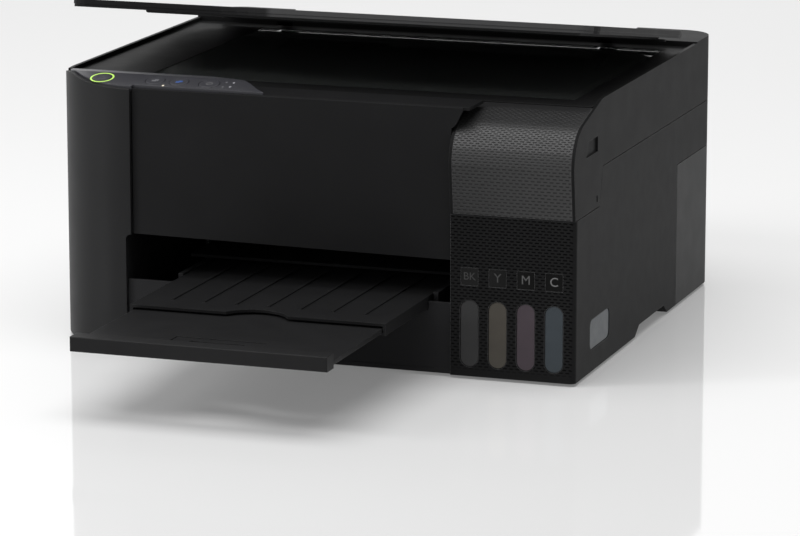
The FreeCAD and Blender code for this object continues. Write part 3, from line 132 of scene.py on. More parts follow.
class Graph:
    """The node tree of one material."""

    def __init__(self, name: str) -> None:
        """Start a material that holds only a Principled shader."""
        self.material = bpy.data.materials.new(name)
        self.material.use_nodes = True
        self.tree = self.material.node_tree
        self.shader = self.tree.nodes["Principled BSDF"]

    def node(
        self, kind: str, settings: Optional[Dict[str, Any]] = None, *values: Any,
        out: Union[int, str] = 0, **named: Any,
    ) -> Flow:
        """Add any node.

        Args:
            kind: Blender's name of the node type.
            settings: Properties that are set before the sockets.
            values: Numbers, colours or flows for the inputs in order; None skips one.
            out: Which output the flow comes from.
            named: Inputs by name, with _ for a space.

        Returns:
            The chosen output.
        """
        made = self.tree.nodes.new(kind)
        for key, value in (settings or {}).items():
            setattr(made, key, value)
        for place, value in enumerate(values):
            self.join(made.inputs[place], value)
        for key, value in named.items():
            self.join(made.inputs[key.replace("_", " ")], value)
        return Flow(self, made.outputs[out])

    def join(self, socket: bpy.types.NodeSocket, value: Any) -> None:
        """Link a flow to a socket, or set the socket to a constant."""
        if value is None:
            return
        if isinstance(value, Flow):
            self.tree.links.new(value.socket, socket)
        elif isinstance(value, tuple) and socket.type == "RGBA":
            socket.default_value = (*value, 1.0)
        else:
            socket.default_value = value

    def place(self) -> Flow:
        """Position on the object, in millimetres."""
        spot = self.node("ShaderNodeTexCoord", None, out="Object")
        return self.node("ShaderNodeVectorMath", {"operation": "SCALE"}, spot, Scale=1000.0)

    def parts(self, vector: Flow) -> Tuple[Flow, Flow, Flow]:
        """The three numbers of a vector."""
        split = self.node("ShaderNodeSeparateXYZ", None, vector)
        outputs = split.socket.node.outputs
        return (Flow(self, outputs[0]), Flow(self, outputs[1]), Flow(self, outputs[2]))

    def facing(self) -> Tuple[Flow, Flow, Flow]:
        """Direction that the surface faces, on the object's own axes."""
        return self.parts(self.node("ShaderNodeTexCoord", None, out="Normal"))

    def noise(self, spot: Flow, scale: float, detail: float = 2.0, rough: float = 0.5) -> Flow:
        """Soft noise between 0 and 1, with a scale per millimetre."""
        return self.node(
            "ShaderNodeTexNoise", None, Vector=spot, Scale=scale, Detail=detail, Roughness=rough
        )

    def blend(self, share: Value, first: Tint, second: Tint) -> Flow:
        """Mix two colours by a share from 0 to 1."""
        mixed = self.node("ShaderNodeMix", {"data_type": "RGBA"}, share, out=2)
        sockets = mixed.socket.node.inputs
        self.join(sockets[6], first)
        self.join(sockets[7], second)
        return mixed

    def edges(self, spot_radius: float) -> Flow:
        """How near an outer edge a point is, from 0 to about 1."""
        soft = self.node("ShaderNodeBevel", {"samples": 4}, spot_radius)
        flat = self.node("ShaderNodeNewGeometry", None, out="Normal")
        same = self.node(
            "ShaderNodeVectorMath", {"operation": "DOT_PRODUCT"}, soft, flat, out="Value"
        )
        return (1.0 - same).ramp(0.01, 0.22)

    def relief(self, height: Flow, depth: float, edge: float = 0.0) -> Flow:
        """A bumped normal.

        Args:
            height: Relief from 0 to 1.
            depth: Height in metres of a full step.
            edge: Radius in metres that rounds sharp edges.

        Returns:
            The normal.
        """
        base = self.node("ShaderNodeBevel", {"samples": 4}, edge) if edge > 0 else None
        return self.node("ShaderNodeBump", None, Strength=1.0, Distance=depth, Height=height, Normal=base)

    def set(self, **inputs: Any) -> bpy.types.Material:
        """Fill the shader's sockets by name, with _ for a space."""
        for key, value in inputs.items():
            self.join(self.shader.inputs[key.replace("_", " ")], value)
        return self.material


# ------------------------------------------------------------------ finishes
@dataclass(frozen=True)
class SatinPlastic:
    """Moulded plastic with a spark-eroded grain, and edges lightened partly as wear and partly as painted
    highlight.
    """

    colour: Colour = (0.0150, 0.0151, 0.0156)
    roughness: float = 0.46
    grain: float = 2.6
    depth: float = 0.000012
    edge: float = 0.0005
    # Strength of the edge lightening: partly wear, partly painted highlight.
    edge_wear_and_highlight: float = 0.5
    specular: float = 0.10

    def relief_height(self, graph: Graph, spot: Flow) -> Flow:
        """Grain of the mould."""
        return graph.noise(spot, self.grain, 3.0, 0.6)

    def tint(self, graph: Graph, spot: Flow) -> Flow:
        """Base colour with faint cloudiness."""
        cloud = graph.noise(spot, 0.03, 3.0)
        light = tuple(min(1.0, c * 1.16) for c in self.colour)
        dark = tuple(c * 0.86 for c in self.colour)
        return graph.blend(cloud, dark, light)

    def material(self, name: str) -> bpy.types.Material:
        """Build the material."""
        graph = Graph(name)
        spot = graph.place()
        # Edge mask: partly wear, partly painted highlight along the outer edges.
        worn_and_highlit_edge = graph.edges(self.edge * 1.3) * (0.35 + graph.noise(spot, 0.35, 2.0) * 0.9)
        tint = self.tint(graph, spot)
        # Painted edge highlight: a paler copy of the colour blended in on the edges.
        edge_highlight = tuple(min(1.0, c * 2.6 + 0.012) for c in self.colour)
        tint = graph.blend(worn_and_highlit_edge * self.edge_wear_and_highlight, tint, edge_highlight)
        height = self.relief_height(graph, spot)
        rough = self.roughness + (graph.noise(spot, 0.06, 2.0) - 0.5) * 0.10 - worn_and_highlit_edge * 0.08
        graph.shader.inputs["Specular IOR Level"].default_value = self.specular
        return graph.set(
            Base_Color=tint, Roughness=rough, Normal=graph.relief(height, self.depth, self.edge)
        )


@dataclass(frozen=True)
class BrickPlastic(SatinPlastic):
    """Satin plastic pressed with rows of short staggered dashes on its front and roof."""

    pitch: float = 4.2
    row: float = 2.0
    pressed: float = 0.00016
    start: float = -0.1625
    back: float = -0.123

    def dashes(self, graph: Graph, spot: Flow) -> Flow:
        """Pressed dashes, 1 in a dash and 0 between them."""
        x, y, z = graph.parts(spot)
        nx, _, _ = graph.facing()
        along = z + (y - self.start / MM) * 0.777
        rows = along / self.row
        line = rows.floor()
        shift = (line * 0.5).fraction()
        across = abs((x / self.pitch + shift).fraction() - 0.5)
        down = abs(rows.fraction() - 0.5)
        dash = (1.0 - across.ramp(0.24, 0.40)) * (1.0 - down.ramp(0.10, 0.34))
        faces_out = 1.0 - abs(nx).ramp(0.45, 0.6)
        ends = 1.0 - (y + 1.0).ramp(self.back / MM - 6.0, self.back / MM)
        return dash * faces_out * ends

    def tint(self, graph: Graph, spot: Flow) -> Flow:
        """Base colour with painted shade in the pressed dashes."""
        plain = super().tint(graph, spot)
        # Painted shade in the pressed dashes: a much darker copy of the colour.
        shaded_tone = tuple(c * 0.15 for c in self.colour)
        return graph.blend(self.dashes(graph, spot) * 0.95, plain, shaded_tone)

    def relief_height(self, graph: Graph, spot: Flow) -> Flow:
        """Dashes pressed in, with the grain on top."""
        grain = graph.noise(spot, self.grain, 3.0, 0.6)
        return (1.0 - self.dashes(graph, spot)) + grain * 0.06

    def material(self, name: str) -> bpy.types.Material:
        """Build the material with the deeper relief of the dashes."""
        graph = Graph(name)
        spot = graph.place()
        worn_and_highlit_edge = graph.edges(self.edge * 1.6)
        # Painted edge highlight, partly wear: a much paler copy of the colour on the edges.
        edge_highlight = tuple(min(1.0, c * 4.0 + 0.05) for c in self.colour)
        tint = graph.blend(worn_and_highlit_edge * self.edge_wear_and_highlight, self.tint(graph, spot), edge_highlight)
        rough = self.roughness + (graph.noise(spot, 0.08, 2.0) - 0.5) * 0.08
        rough = rough + self.dashes(graph, spot) * 0.45
        graph.shader.inputs["Specular IOR Level"].default_value = self.specular
        normal = graph.relief(self.relief_height(graph, spot), self.pressed, self.edge)
        return graph.set(Base_Color=tint, Roughness=rough, Normal=normal)


@dataclass(frozen=True)
class InkWindow:
    """Clear tank plastic with tinted ink behind it, with painted light paler towards one side and painted shade
    round its edge.
    """

    ink: Colour
    rim_shade: Colour
    centre: Point2
    half: Point2
    level: float = 52.0

    def material(self, name: str) -> bpy.types.Material:
        """Build the material."""
        graph = Graph(name)
        spot = graph.place()
        x, _, z = graph.parts(spot)
        reach = self.half[1] - self.half[0]
        over = (abs(z - self.centre[1]) - reach).most(0.0)
        side = x - self.centre[0]
        span = graph.node("ShaderNodeMath", {"operation": "SQRT"}, side * side + over * over)
        # Painted shade round the window's edge.
        rim_shade = (span / self.half[0]).ramp(0.72, 1.02)
        # Painted light: paler towards one side across the window, with lit and shaded copies of the ink.
        light = (side / self.half[0] * 0.5 + 0.5).ramp(0.0, 1.0)
        cloud = graph.noise(spot, 0.22, 3.0)
        pale = tuple(min(1.0, c * 1.22) for c in self.ink)
        shaded_tone = tuple(c * 0.84 for c in self.ink)
        body = graph.blend(light * 0.7 + cloud * 0.3, shaded_tone, pale)
        empty = tuple(min(1.0, c * 0.7 + 0.03) for c in self.ink)
        body = graph.blend(z.ramp(self.level - 0.6, self.level + 0.2), body, empty)
        tint = graph.blend(rim_shade * 0.55, body, self.rim_shade)
        graph.shader.inputs["Coat Weight"].default_value = 0.35
        graph.shader.inputs["Coat Roughness"].default_value = 0.12
        height = graph.noise(spot, 0.9, 2.0)
        return graph.set(
            Base_Color=tint, Roughness=0.34 + cloud * 0.1, Normal=graph.relief(height, 0.00002)
        )


@dataclass(frozen=True)
class TankPlastic:
    """Milky blow-moulded tank wall with ink showing through up to a level."""

    ink: Colour
    level: float = 72.0

    def material(self, name: str) -> bpy.types.Material:
        """Build the material."""
        graph = Graph(name)
        spot = graph.place()
        _, _, z = graph.parts(spot)
        cloud = graph.noise(spot, 0.12, 3.0)
        pale = tuple(min(1.0, c * 1.3 + 0.03) for c in self.ink)
        tint = graph.blend(cloud, self.ink, tuple(c * 0.8 for c in self.ink))
        graph.shader.inputs["Specular IOR Level"].default_value = 0.2
        tint = graph.blend(z.ramp(self.level - 1.5, self.level), tint, pale)
        graph.shader.inputs["Coat Weight"].default_value = 0.2
        height = graph.noise(spot, 1.2, 2.0)
        return graph.set(
            Base_Color=tint, Roughness=0.3 + cloud * 0.15, Normal=graph.relief(height, 0.00003, 0.0004)
        )


class Brushing(Enum):
    """Direction of the fine lines on a metal."""

    ALONG_X = (0.02, 4.0, 4.0)
    ALONG_Y = (4.0, 0.02, 4.0)
    SPANGLE = (0.35, 0.35, 0.35)


@dataclass(frozen=True)
class Metal:
    """Bare or plated metal with rolling lines and light stains."""

    colour: Colour = (0.56, 0.56, 0.57)
    roughness: float = 0.28
    brushing: Brushing = Brushing.ALONG_X

    def material(self, name: str) -> bpy.types.Material:
        """Build the material."""
        graph = Graph(name)
        spot = graph.place()
        drawn = graph.node(
            "ShaderNodeVectorMath", {"operation": "MULTIPLY"}, spot, self.brushing.value
        )
        lines = graph.noise(drawn, 1.0, 4.0, 0.65)
        stain = graph.noise(spot, 0.05, 4.0)
        dull = tuple(c * 0.62 for c in self.colour)
        graph.shader.inputs["Metallic"].default_value = 1.0
        return graph.set(
            Base_Color=graph.blend(lines * 0.5 + stain * 0.4, self.colour, dull),
            Roughness=self.roughness + lines * 0.14 + stain * 0.08,
            Normal=graph.relief(lines, 0.00001, 0.0003),
        )


@dataclass(frozen=True)
class SoftRubber:
    """Matt rubber with a fine dusty grain."""

    colour: Colour = (0.018, 0.018, 0.018)
    roughness: float = 0.78
    grain: float = 1.8

    def material(self, name: str) -> bpy.types.Material:
        """Build the material."""
        graph = Graph(name)
        spot = graph.place()
        dust = graph.noise(spot, 0.3, 5.0, 0.7)
        grey = tuple(c * 1.9 + 0.01 for c in self.colour)
        return graph.set(
            Base_Color=graph.blend(dust.ramp(0.45, 0.8) * 0.6, self.colour, grey),
            Roughness=self.roughness + dust * 0.12,
            Normal=graph.relief(graph.noise(spot, self.grain, 3.0), 0.00004, 0.0004),
        )


@dataclass(frozen=True)
class Foam:
    """Fine closed-cell foam sheet with a woven skin."""

    colour: Colour = (0.009, 0.009, 0.0095)
    cell: float = 1.1

    def material(self, name: str) -> bpy.types.Material:
        """Build the material."""
        graph = Graph(name)
        spot = graph.place()
        cells = graph.node(
            "ShaderNodeTexVoronoi", {"feature": "F1"}, Vector=spot, Scale=self.cell * 1.6
        )
        cloud = graph.noise(spot, 0.02, 4.0)
        light = tuple(c * 1.7 for c in self.colour)
        height = cells * 0.8 + cloud * 0.6
        return graph.set(
            Base_Color=graph.blend(cells * 0.5 + cloud * 0.4, self.colour, light),
            Roughness=0.86 + cloud * 0.08,
            Normal=graph.relief(height, 0.0001),
        )


@dataclass(frozen=True)
class SheetGlass:
    """Dark float glass with faint wiping marks."""

    tint: Colour = (0.30, 0.32, 0.31)

    def material(self, name: str) -> bpy.types.Material:
        """Build the material."""
        graph = Graph(name)
        spot = graph.place()
        wipes = graph.node(
            "ShaderNodeTexWave", {"wave_type": "BANDS"},
            Vector=spot, Scale=0.02, Distortion=9.0, Detail=3.0,
        )
        graph.shader.inputs["Transmission Weight"].default_value = 0.85
        graph.shader.inputs["IOR"].default_value = 1.5
        return graph.set(
            Base_Color=graph.blend(wipes * 0.12, self.tint, (0.36, 0.37, 0.37)),
            Roughness=0.015 + wipes * 0.035,
        )


@dataclass(frozen=True)
class Print:
    """Printed or moulded mark, slightly uneven like pad printing."""

    colour: Colour
    glow: float = 0.0
    roughness: float = 0.45

    def material(self, name: str) -> bpy.types.Material:
        """Build the material."""
        graph = Graph(name)
        spot = graph.place()
        speck = graph.noise(spot, 3.0, 3.0)
        weak = tuple(c * 0.78 for c in self.colour)
        graph.shader.inputs["Emission Strength"].default_value = self.glow
        graph.shader.inputs["Emission Color"].default_value = (*self.colour, 1.0)
        return graph.set(
            Base_Color=graph.blend(speck.ramp(0.5, 0.75), self.colour, weak),
            Roughness=self.roughness + speck * 0.15,
            Normal=graph.relief(speck, 0.00001),
        )


@dataclass(frozen=True)
class Circuit:
    """Green circuit board with tracks and pads."""

    mask: Colour = (0.012, 0.075, 0.03)
    copper: Colour = (0.03, 0.14, 0.06)

    def material(self, name: str) -> bpy.types.Material:
        """Build the material."""
        graph = Graph(name)
        spot = graph.place()
        _, y, z = graph.parts(spot)
        tracks = graph.node(
            "ShaderNodeTexBrick", {"offset": 0.37}, Vector=spot, Scale=0.22,
            Mortar_Size=0.035, Brick_Width=0.9, Row_Height=0.3, out="Fac",
        )
        lines = (abs((y * 0.5).fraction() - 0.5)).ramp(0.34, 0.42) * graph.noise(spot, 0.08, 1.0).ramp(0.5, 0.52)
        lay = tracks.most(lines)
        return graph.set(
            Base_Color=graph.blend(lay, self.mask, self.copper),
            Roughness=0.35 - lay * 0.1,
            Normal=graph.relief(lay, 0.00004, 0.0002),
        )


# ------------------------------------------------------------------ mesh helpers
def pill(centre: Point2, half: Point2, steps: int = 14) -> List[Point2]:
    """Outline of an upright bar with round ends.

    Args:
        centre: Middle of the bar.
        half: Half its width and half its height.
        steps: Sides of each round end.

    Returns:
        Points in order round the outline.
    """
    radius, reach = half[0], half[1] - half[0]
    points = []
    for side, start in ((1, 0.0), (-1, math.pi)):
        for i in range(steps + 1):
            a = start + math.pi * i / steps
            points.append((centre[0] + radius * math.cos(a), centre[1] + side * reach + radius * math.sin(a)))
    return points


def rounded(centre: Point2, half: Point2, radius: float, steps: int = 6) -> List[Point2]:
    """Outline of a rectangle with round corners.

    Args:
        centre: Middle of the rectangle.
        half: Half its width and half its height.
        radius: Corner radius.
        steps: Sides of each corner.

    Returns:
        Points in order round the outline.
    """
    points = []
    for sx, sy, start in ((1, 1, 0), (-1, 1, 90), (-1, -1, 180), (1, -1, 270)):
        cx = centre[0] + sx * (half[0] - radius)
        cy = centre[1] + sy * (half[1] - radius)
        for i in range(steps + 1):
            a = math.radians(start + 90 * i / steps)
            points.append((cx + radius * math.cos(a), cy + radius * math.sin(a)))
    return points


def circle(centre: Point2, radius: float, steps: int = 40) -> List[Point2]:
    """Points round a circle."""
    turn = 2 * math.pi / steps
    return [
        (centre[0] + radius * math.cos(turn * i), centre[1] + radius * math.sin(turn * i))
        for i in range(steps)
    ]


def sloping(near: Point2, slope: float, lift: float = 0.0) -> Callable[[Point2, float], Point3]:
    """Place an outline on a surface that rises to the back.

    Args:
        near: Depth and height of a line on the surface.
        slope: Rise of the surface in degrees.
        lift: How far above the surface depth 0 is.

    Returns:
        The mapping from an outline point and a depth to a place.
    """
    s, c = math.sin(math.radians(slope)), math.cos(math.radians(slope))

    def place(p: Point2, d: float) -> Point3:
        """Outline point to a place."""
        height = near[1] + (p[1] - near[0]) * s / c
        return (p[0] * MM, (p[1] - s * (d + lift)) * MM, (height + c * (d + lift)) * MM)

    return place


def upright(depth: float) -> Callable[[Point2, float], Point3]:
    """Place an outline on a wall that faces the front; its depth comes forward."""
    return lambda p, d: (p[0] * MM, (depth - d) * MM, p[1] * MM)


def shrink(points: Sequence[Point2], by: float) -> List[Point2]:
    """Move an outline inwards along its corner normals."""
    count = len(points)
    area = sum(
        points[i][0] * points[(i + 1) % count][1] - points[(i + 1) % count][0] * points[i][1]
        for i in range(count)
    )
    turn = 1.0 if area > 0 else -1.0
    moved = []
    for i in range(count):
        before, after = Vector(points[i - 1]), Vector(points[(i + 1) % count])
        along = (after - before).normalized()
        inward = Vector((-along.y, along.x)) * turn
        moved.append((points[i][0] + inward.x * by, points[i][1] + inward.y * by))
    return moved


class Shape:
    """A mesh that is gathered piece by piece."""

    def __init__(self) -> None:
        """Start empty."""
        self.mesh = bmesh.new()

    def stack(
        self, layers: Sequence[Tuple[Sequence[Point2], float]],
        spot: Callable[[Point2, float], Point3], material: int = 0,
    ) -> None:
        """Skin a stack of outlines with equal point counts and close both ends.

        Args:
            layers: Outline and depth of each layer.
            spot: Turns an outline point and a depth into a place.
            material: Slot of the faces.
        """
        rings = [[self.mesh.verts.new(spot(p, d)) for p in outline] for outline, d in layers]
        count = len(rings[0])
        faces = []
        for low, high in zip(rings, rings[1:]):
            for i in range(count):
                j = (i + 1) % count
                faces.append(self.mesh.faces.new((low[i], low[j], high[j], high[i])))
        faces.append(self.mesh.faces.new(rings[-1]))
        faces.append(self.mesh.faces.new(list(reversed(rings[0]))))
        for face in faces:
            face.material_index = material
            face.smooth = True

    def slab(
        self, outline: Sequence[Point2], low: float, high: float,
        spot: Callable[[Point2, float], Point3], soften: float, material: int = 0,
    ) -> None:
        """A plate whose top edge is rounded."""
        layers = [(outline, low), (outline, high - soften)]
        for share in (30, 60, 90):
            a = math.radians(share)
            layers.append((shrink(outline, soften * (1 - math.cos(a))), high - soften * (1 - math.sin(a))))
        self.stack(layers, spot, material)

    def ring(
        self, centre: Point2, inner: float, outer: float, low: float, high: float,
        spot: Callable[[Point2, float], Point3], material: int = 0,
    ) -> None:
        """A flat ring with a rounded crown."""
        steps = 56
        middle = (inner + outer) / 2
        half = (outer - inner) / 2
        section = [(inner, low)]
        for a in (180, 135, 90, 45, 0):
            r = math.radians(a)
            section.append((middle + half * math.cos(r), low + (high - low) * (0.4 + 0.6 * math.sin(r))))
        section.append((outer, low))
        rows = []
        for radius, depth in section:
            rows.append([self.mesh.verts.new(spot(p, depth)) for p in circle(centre, radius, steps)])
        for k in range(len(rows)):
            first, second = rows[k], rows[(k + 1) % len(rows)]
            for i in range(steps):
                j = (i + 1) % steps
                face = self.mesh.faces.new((first[i], first[j], second[j], second[i]))
                face.material_index = material
                face.smooth = True

    def finish(
        self, name: str, body: str, slot: str, materials: Sequence[bpy.types.Material]
    ) -> bpy.types.Object:
        """Turn the gathered mesh into a piece.

        Args:
            name: Name of the piece.
            body: Body that it moves with.
            slot: Not used.
            materials: Materials in slot order.

        Returns:
            The new object.
        """
        bmesh.ops.recalc_face_normals(self.mesh, faces=self.mesh.faces)
        data = bpy.data.meshes.new(name)
        self.mesh.to_mesh(data)
        self.mesh.free()
        for material in materials:
            data.materials.append(material)
        data.set_sharp_from_angle(angle=math.radians(38))
        piece = bpy.data.objects.new(name, data)
        bpy.context.scene.collection.objects.link(piece)
        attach(piece, body)
        return piece


def lettering(
    text: str, name: str, size: float, centre: Point2, spot: Callable[[Point2, float], Point3],
    depth: float, body: str, material: bpy.types.Material,
) -> bpy.types.Object:
    """Thin raised letters.

    Args:
        text: Letters to set.
        name: Name of the piece.
        size: Letter height in millimetres.
        centre: Middle of the word.
        spot: Turns an outline point and a depth into a place.
        depth: How far the letters stand proud, in millimetres.
        body: Body that they move with.
        material: Finish of the letters.

    Returns:
        The new object.
    """
    curve = bpy.data.curves.new(name, "FONT")
    curve.body = text
    curve.align_x = "CENTER"
    curve.align_y = "CENTER"
    curve.size = size
    curve.extrude = depth / 2
    holder = bpy.data.objects.new(name, curve)
    bpy.context.scene.collection.objects.link(holder)
    bpy.context.view_layer.update()
    data = bpy.data.meshes.new_from_object(holder)
    bpy.data.objects.remove(holder)
    for vertex in data.vertices:
        x, y, z = vertex.co
        vertex.co = spot((x + centre[0], y + centre[1]), z + depth / 2)
    data.materials.clear()
    data.materials.append(material)
    piece = bpy.data.objects.new(name, data)
    bpy.context.scene.collection.objects.link(piece)
    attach(piece, body)
    return piece


def dress(names: Sequence[str], material: bpy.types.Material) -> None:
    """Give CAD nodes a material in all their slots."""
    for name in names:
        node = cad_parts[name]
        if not node.material_slots:
            node.data.materials.append(material)
        for slot in node.material_slots:
            slot.material = material


# ------------------------------------------------------------------ sub-assemblies
@dataclass
class Casing:
    """Outer casing, feet and screws."""

    walls: SatinPlastic = SatinPlastic()
    floor: SatinPlastic = SatinPlastic(colour=(0.017, 0.017, 0.018), roughness=0.55, edge_wear_and_highlight=0.3)

    def build(self) -> None:
        """Dress the casing nodes."""
        dress(["left_casing", "rear_casing"], self.walls.material("casing_plastic"))
        bricks = BrickPlastic(colour=(0.017, 0.017, 0.0175), roughness=0.40, specular=0.5)
        # Full-strength edge lightening here is painted highlight along the tank front's edges.
        front = TankFront(colour=(0.0135, 0.0135, 0.0138), specular=0.03, edge_wear_and_highlight=1.0)
        dress(["right_casing"], front.material("tank_front_plastic"))
        dress(["tank_hood"], bricks.material("hood_plastic"))
        dress(["base_chassis"], self.floor.material("chassis_plastic"))
        dress(["rubber_feet"], SoftRubber().material("foot_rubber"))
        screws = Metal(colour=(0.30, 0.30, 0.31), brushing=Brushing.SPANGLE)
        dress(["casing_screws"], screws.material("screw_steel"))


@dataclass(frozen=True)
class LabelPlate(SatinPlastic):
    """Label plates: the first like the casing, the last ones black."""

    colour: Colour = (0.013, 0.013, 0.013)
    last: Colour = (0.0015, 0.0015, 0.0015)
    turn: Point2 = (120.0, 160.0)
    roughness: float = 0.34
    edge_wear_and_highlight: float = 0.2

    def tint(self, graph: Graph, spot: Flow) -> Flow:
        """Base colour, darker towards the right."""
        x, _, _ = graph.parts(spot)
        return graph.blend(x.ramp(*self.turn), super().tint(graph, spot), self.last)


@dataclass(frozen=True)
class TankFront(BrickPlastic):
    """Right casing: dashes only on the front of the tank bay."""

    def dashes(self, graph: Graph, spot: Flow) -> Flow:
        """Dashes between the seam and the bottom edge, on the front wall only."""
        _, y, z = graph.parts(spot)
        _, ny, _ = graph.facing()
        front = (1.0 - ny).ramp(1.6, 1.9) * (1.0 - y.ramp(-161.6, -161.2))
        return super().dashes(graph, spot) * front * z.ramp(4.0, 10.0)


@dataclass
class InkBay:
    """Tanks, caps, labels and the windows that show the ink."""

    names: Tuple[str, ...] = ("black", "yellow", "magenta", "cyan")
    letters: Tuple[str, ...] = ("BK", "Y", "M", "C")
    inks: Tuple[Colour, ...] = (
        (0.062, 0.062, 0.063), (0.150, 0.132, 0.105), (0.135, 0.098, 0.122), (0.086, 0.112, 0.134)
    )
    first: float = 116.4
    pitch: float = 19.0
    half: Point2 = (6.1, 22.0)
    middle: float = 30.45
    face: float = -161.7
    tank_face: float = -159.3
    ticks: Tuple[float, ...] = (13.5, 18.5, 27.5, 36.5, 44.5)

    def lens(self, place: float, name: str, ink: Colour) -> None:
        """One window lens with its raised level marks."""
        # Colour of the painted shade round the window's edge.
        rim_shade = tuple(c * 0.35 for c in ink)
        centre = (place, self.middle)
        window = InkWindow(ink, rim_shade, centre, self.half).material(name + "_window")
        mark = Print(tuple(min(1.0, c * 1.6 + 0.02) for c in ink)).material(name + "_marks")
        shape = Shape()
        outline = pill(centre, self.half, 18)
        wall = upright(self.tank_face)
        shape.slab(outline, 0.0, 1.5, wall, 0.9)
        for height in self.ticks:
            wide = 1.5 if height != self.ticks[0] else 2.6
            bar = rounded((place + 0.6, height), (wide, 0.22), 0.2, 3)
            shape.slab(bar, 1.3, 1.62, wall, 0.1, 1)
        shape.finish(name + "_lens", "base", "tank_" + name, [window, mark])

    def label(self, place: float, name: str, text: str, shade: float) -> None:
        """Letters on one label plate."""
        ink = Print((shade, shade, shade), roughness=0.5).material(name + "_letters")
        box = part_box("ink_labels")
        face = box[0][1] / MM
        lettering(
            text, name + "_letter", 8.4 if len(text) == 1 else 7.0, (place, 68.1),
            upright(face), 0.12, "base", ink,
        )

    def build(self) -> None:
        """Build the windows and letters, and dress the tanks."""
        shades = (0.030, 0.040, 0.075, 0.150)
        for i, name in enumerate(self.names):
            place = self.first + self.pitch * i
            self.lens(place, name, self.inks[i])
            self.label(place, name, self.letters[i], shades[i])
            shell = tuple(c * 0.42 for c in self.inks[i])
            dress(["ink_tank_" + name], TankPlastic(shell).material(name + "_tank"))
        dress(["tank_cap_" + n for n in self.names], SoftRubber().material("cap_rubber"))
        dress(["ink_labels"], LabelPlate().material("label_plate"))
        tube = SatinPlastic(colour=(0.10, 0.10, 0.11), roughness=0.25)
        dress(["ink_tubes"], tube.material("tube_plastic"))


@dataclass
class ScannerUnit:
    """Scanner bed, glass and what is under it."""

    frame_finish: SatinPlastic = SatinPlastic(
        colour=(0.0125, 0.0125, 0.0128), specular=0.03, edge_wear_and_highlight=0.9
    )

    def build(self) -> None:
        """Dress the scanner nodes."""
        dress(["scanner_frame"], self.frame_finish.material("bed_plastic"))
        panel = SatinPlastic(colour=(0.0125, 0.0125, 0.013), roughness=0.42, specular=0.06)
        dress(["front_panel"], panel.material("front_plastic"))
        inner = SatinPlastic(colour=(0.010, 0.010, 0.011), roughness=0.6, edge_wear_and_highlight=0.2)
        dress(["scanner_tub", "scan_carriage"], inner.material("tub_plastic"))
        dress(["scan_glass"], SheetGlass().material("bed_glass"))
        dress(["scan_rod", "scanner_hinges"], Metal().material("rod_steel"))


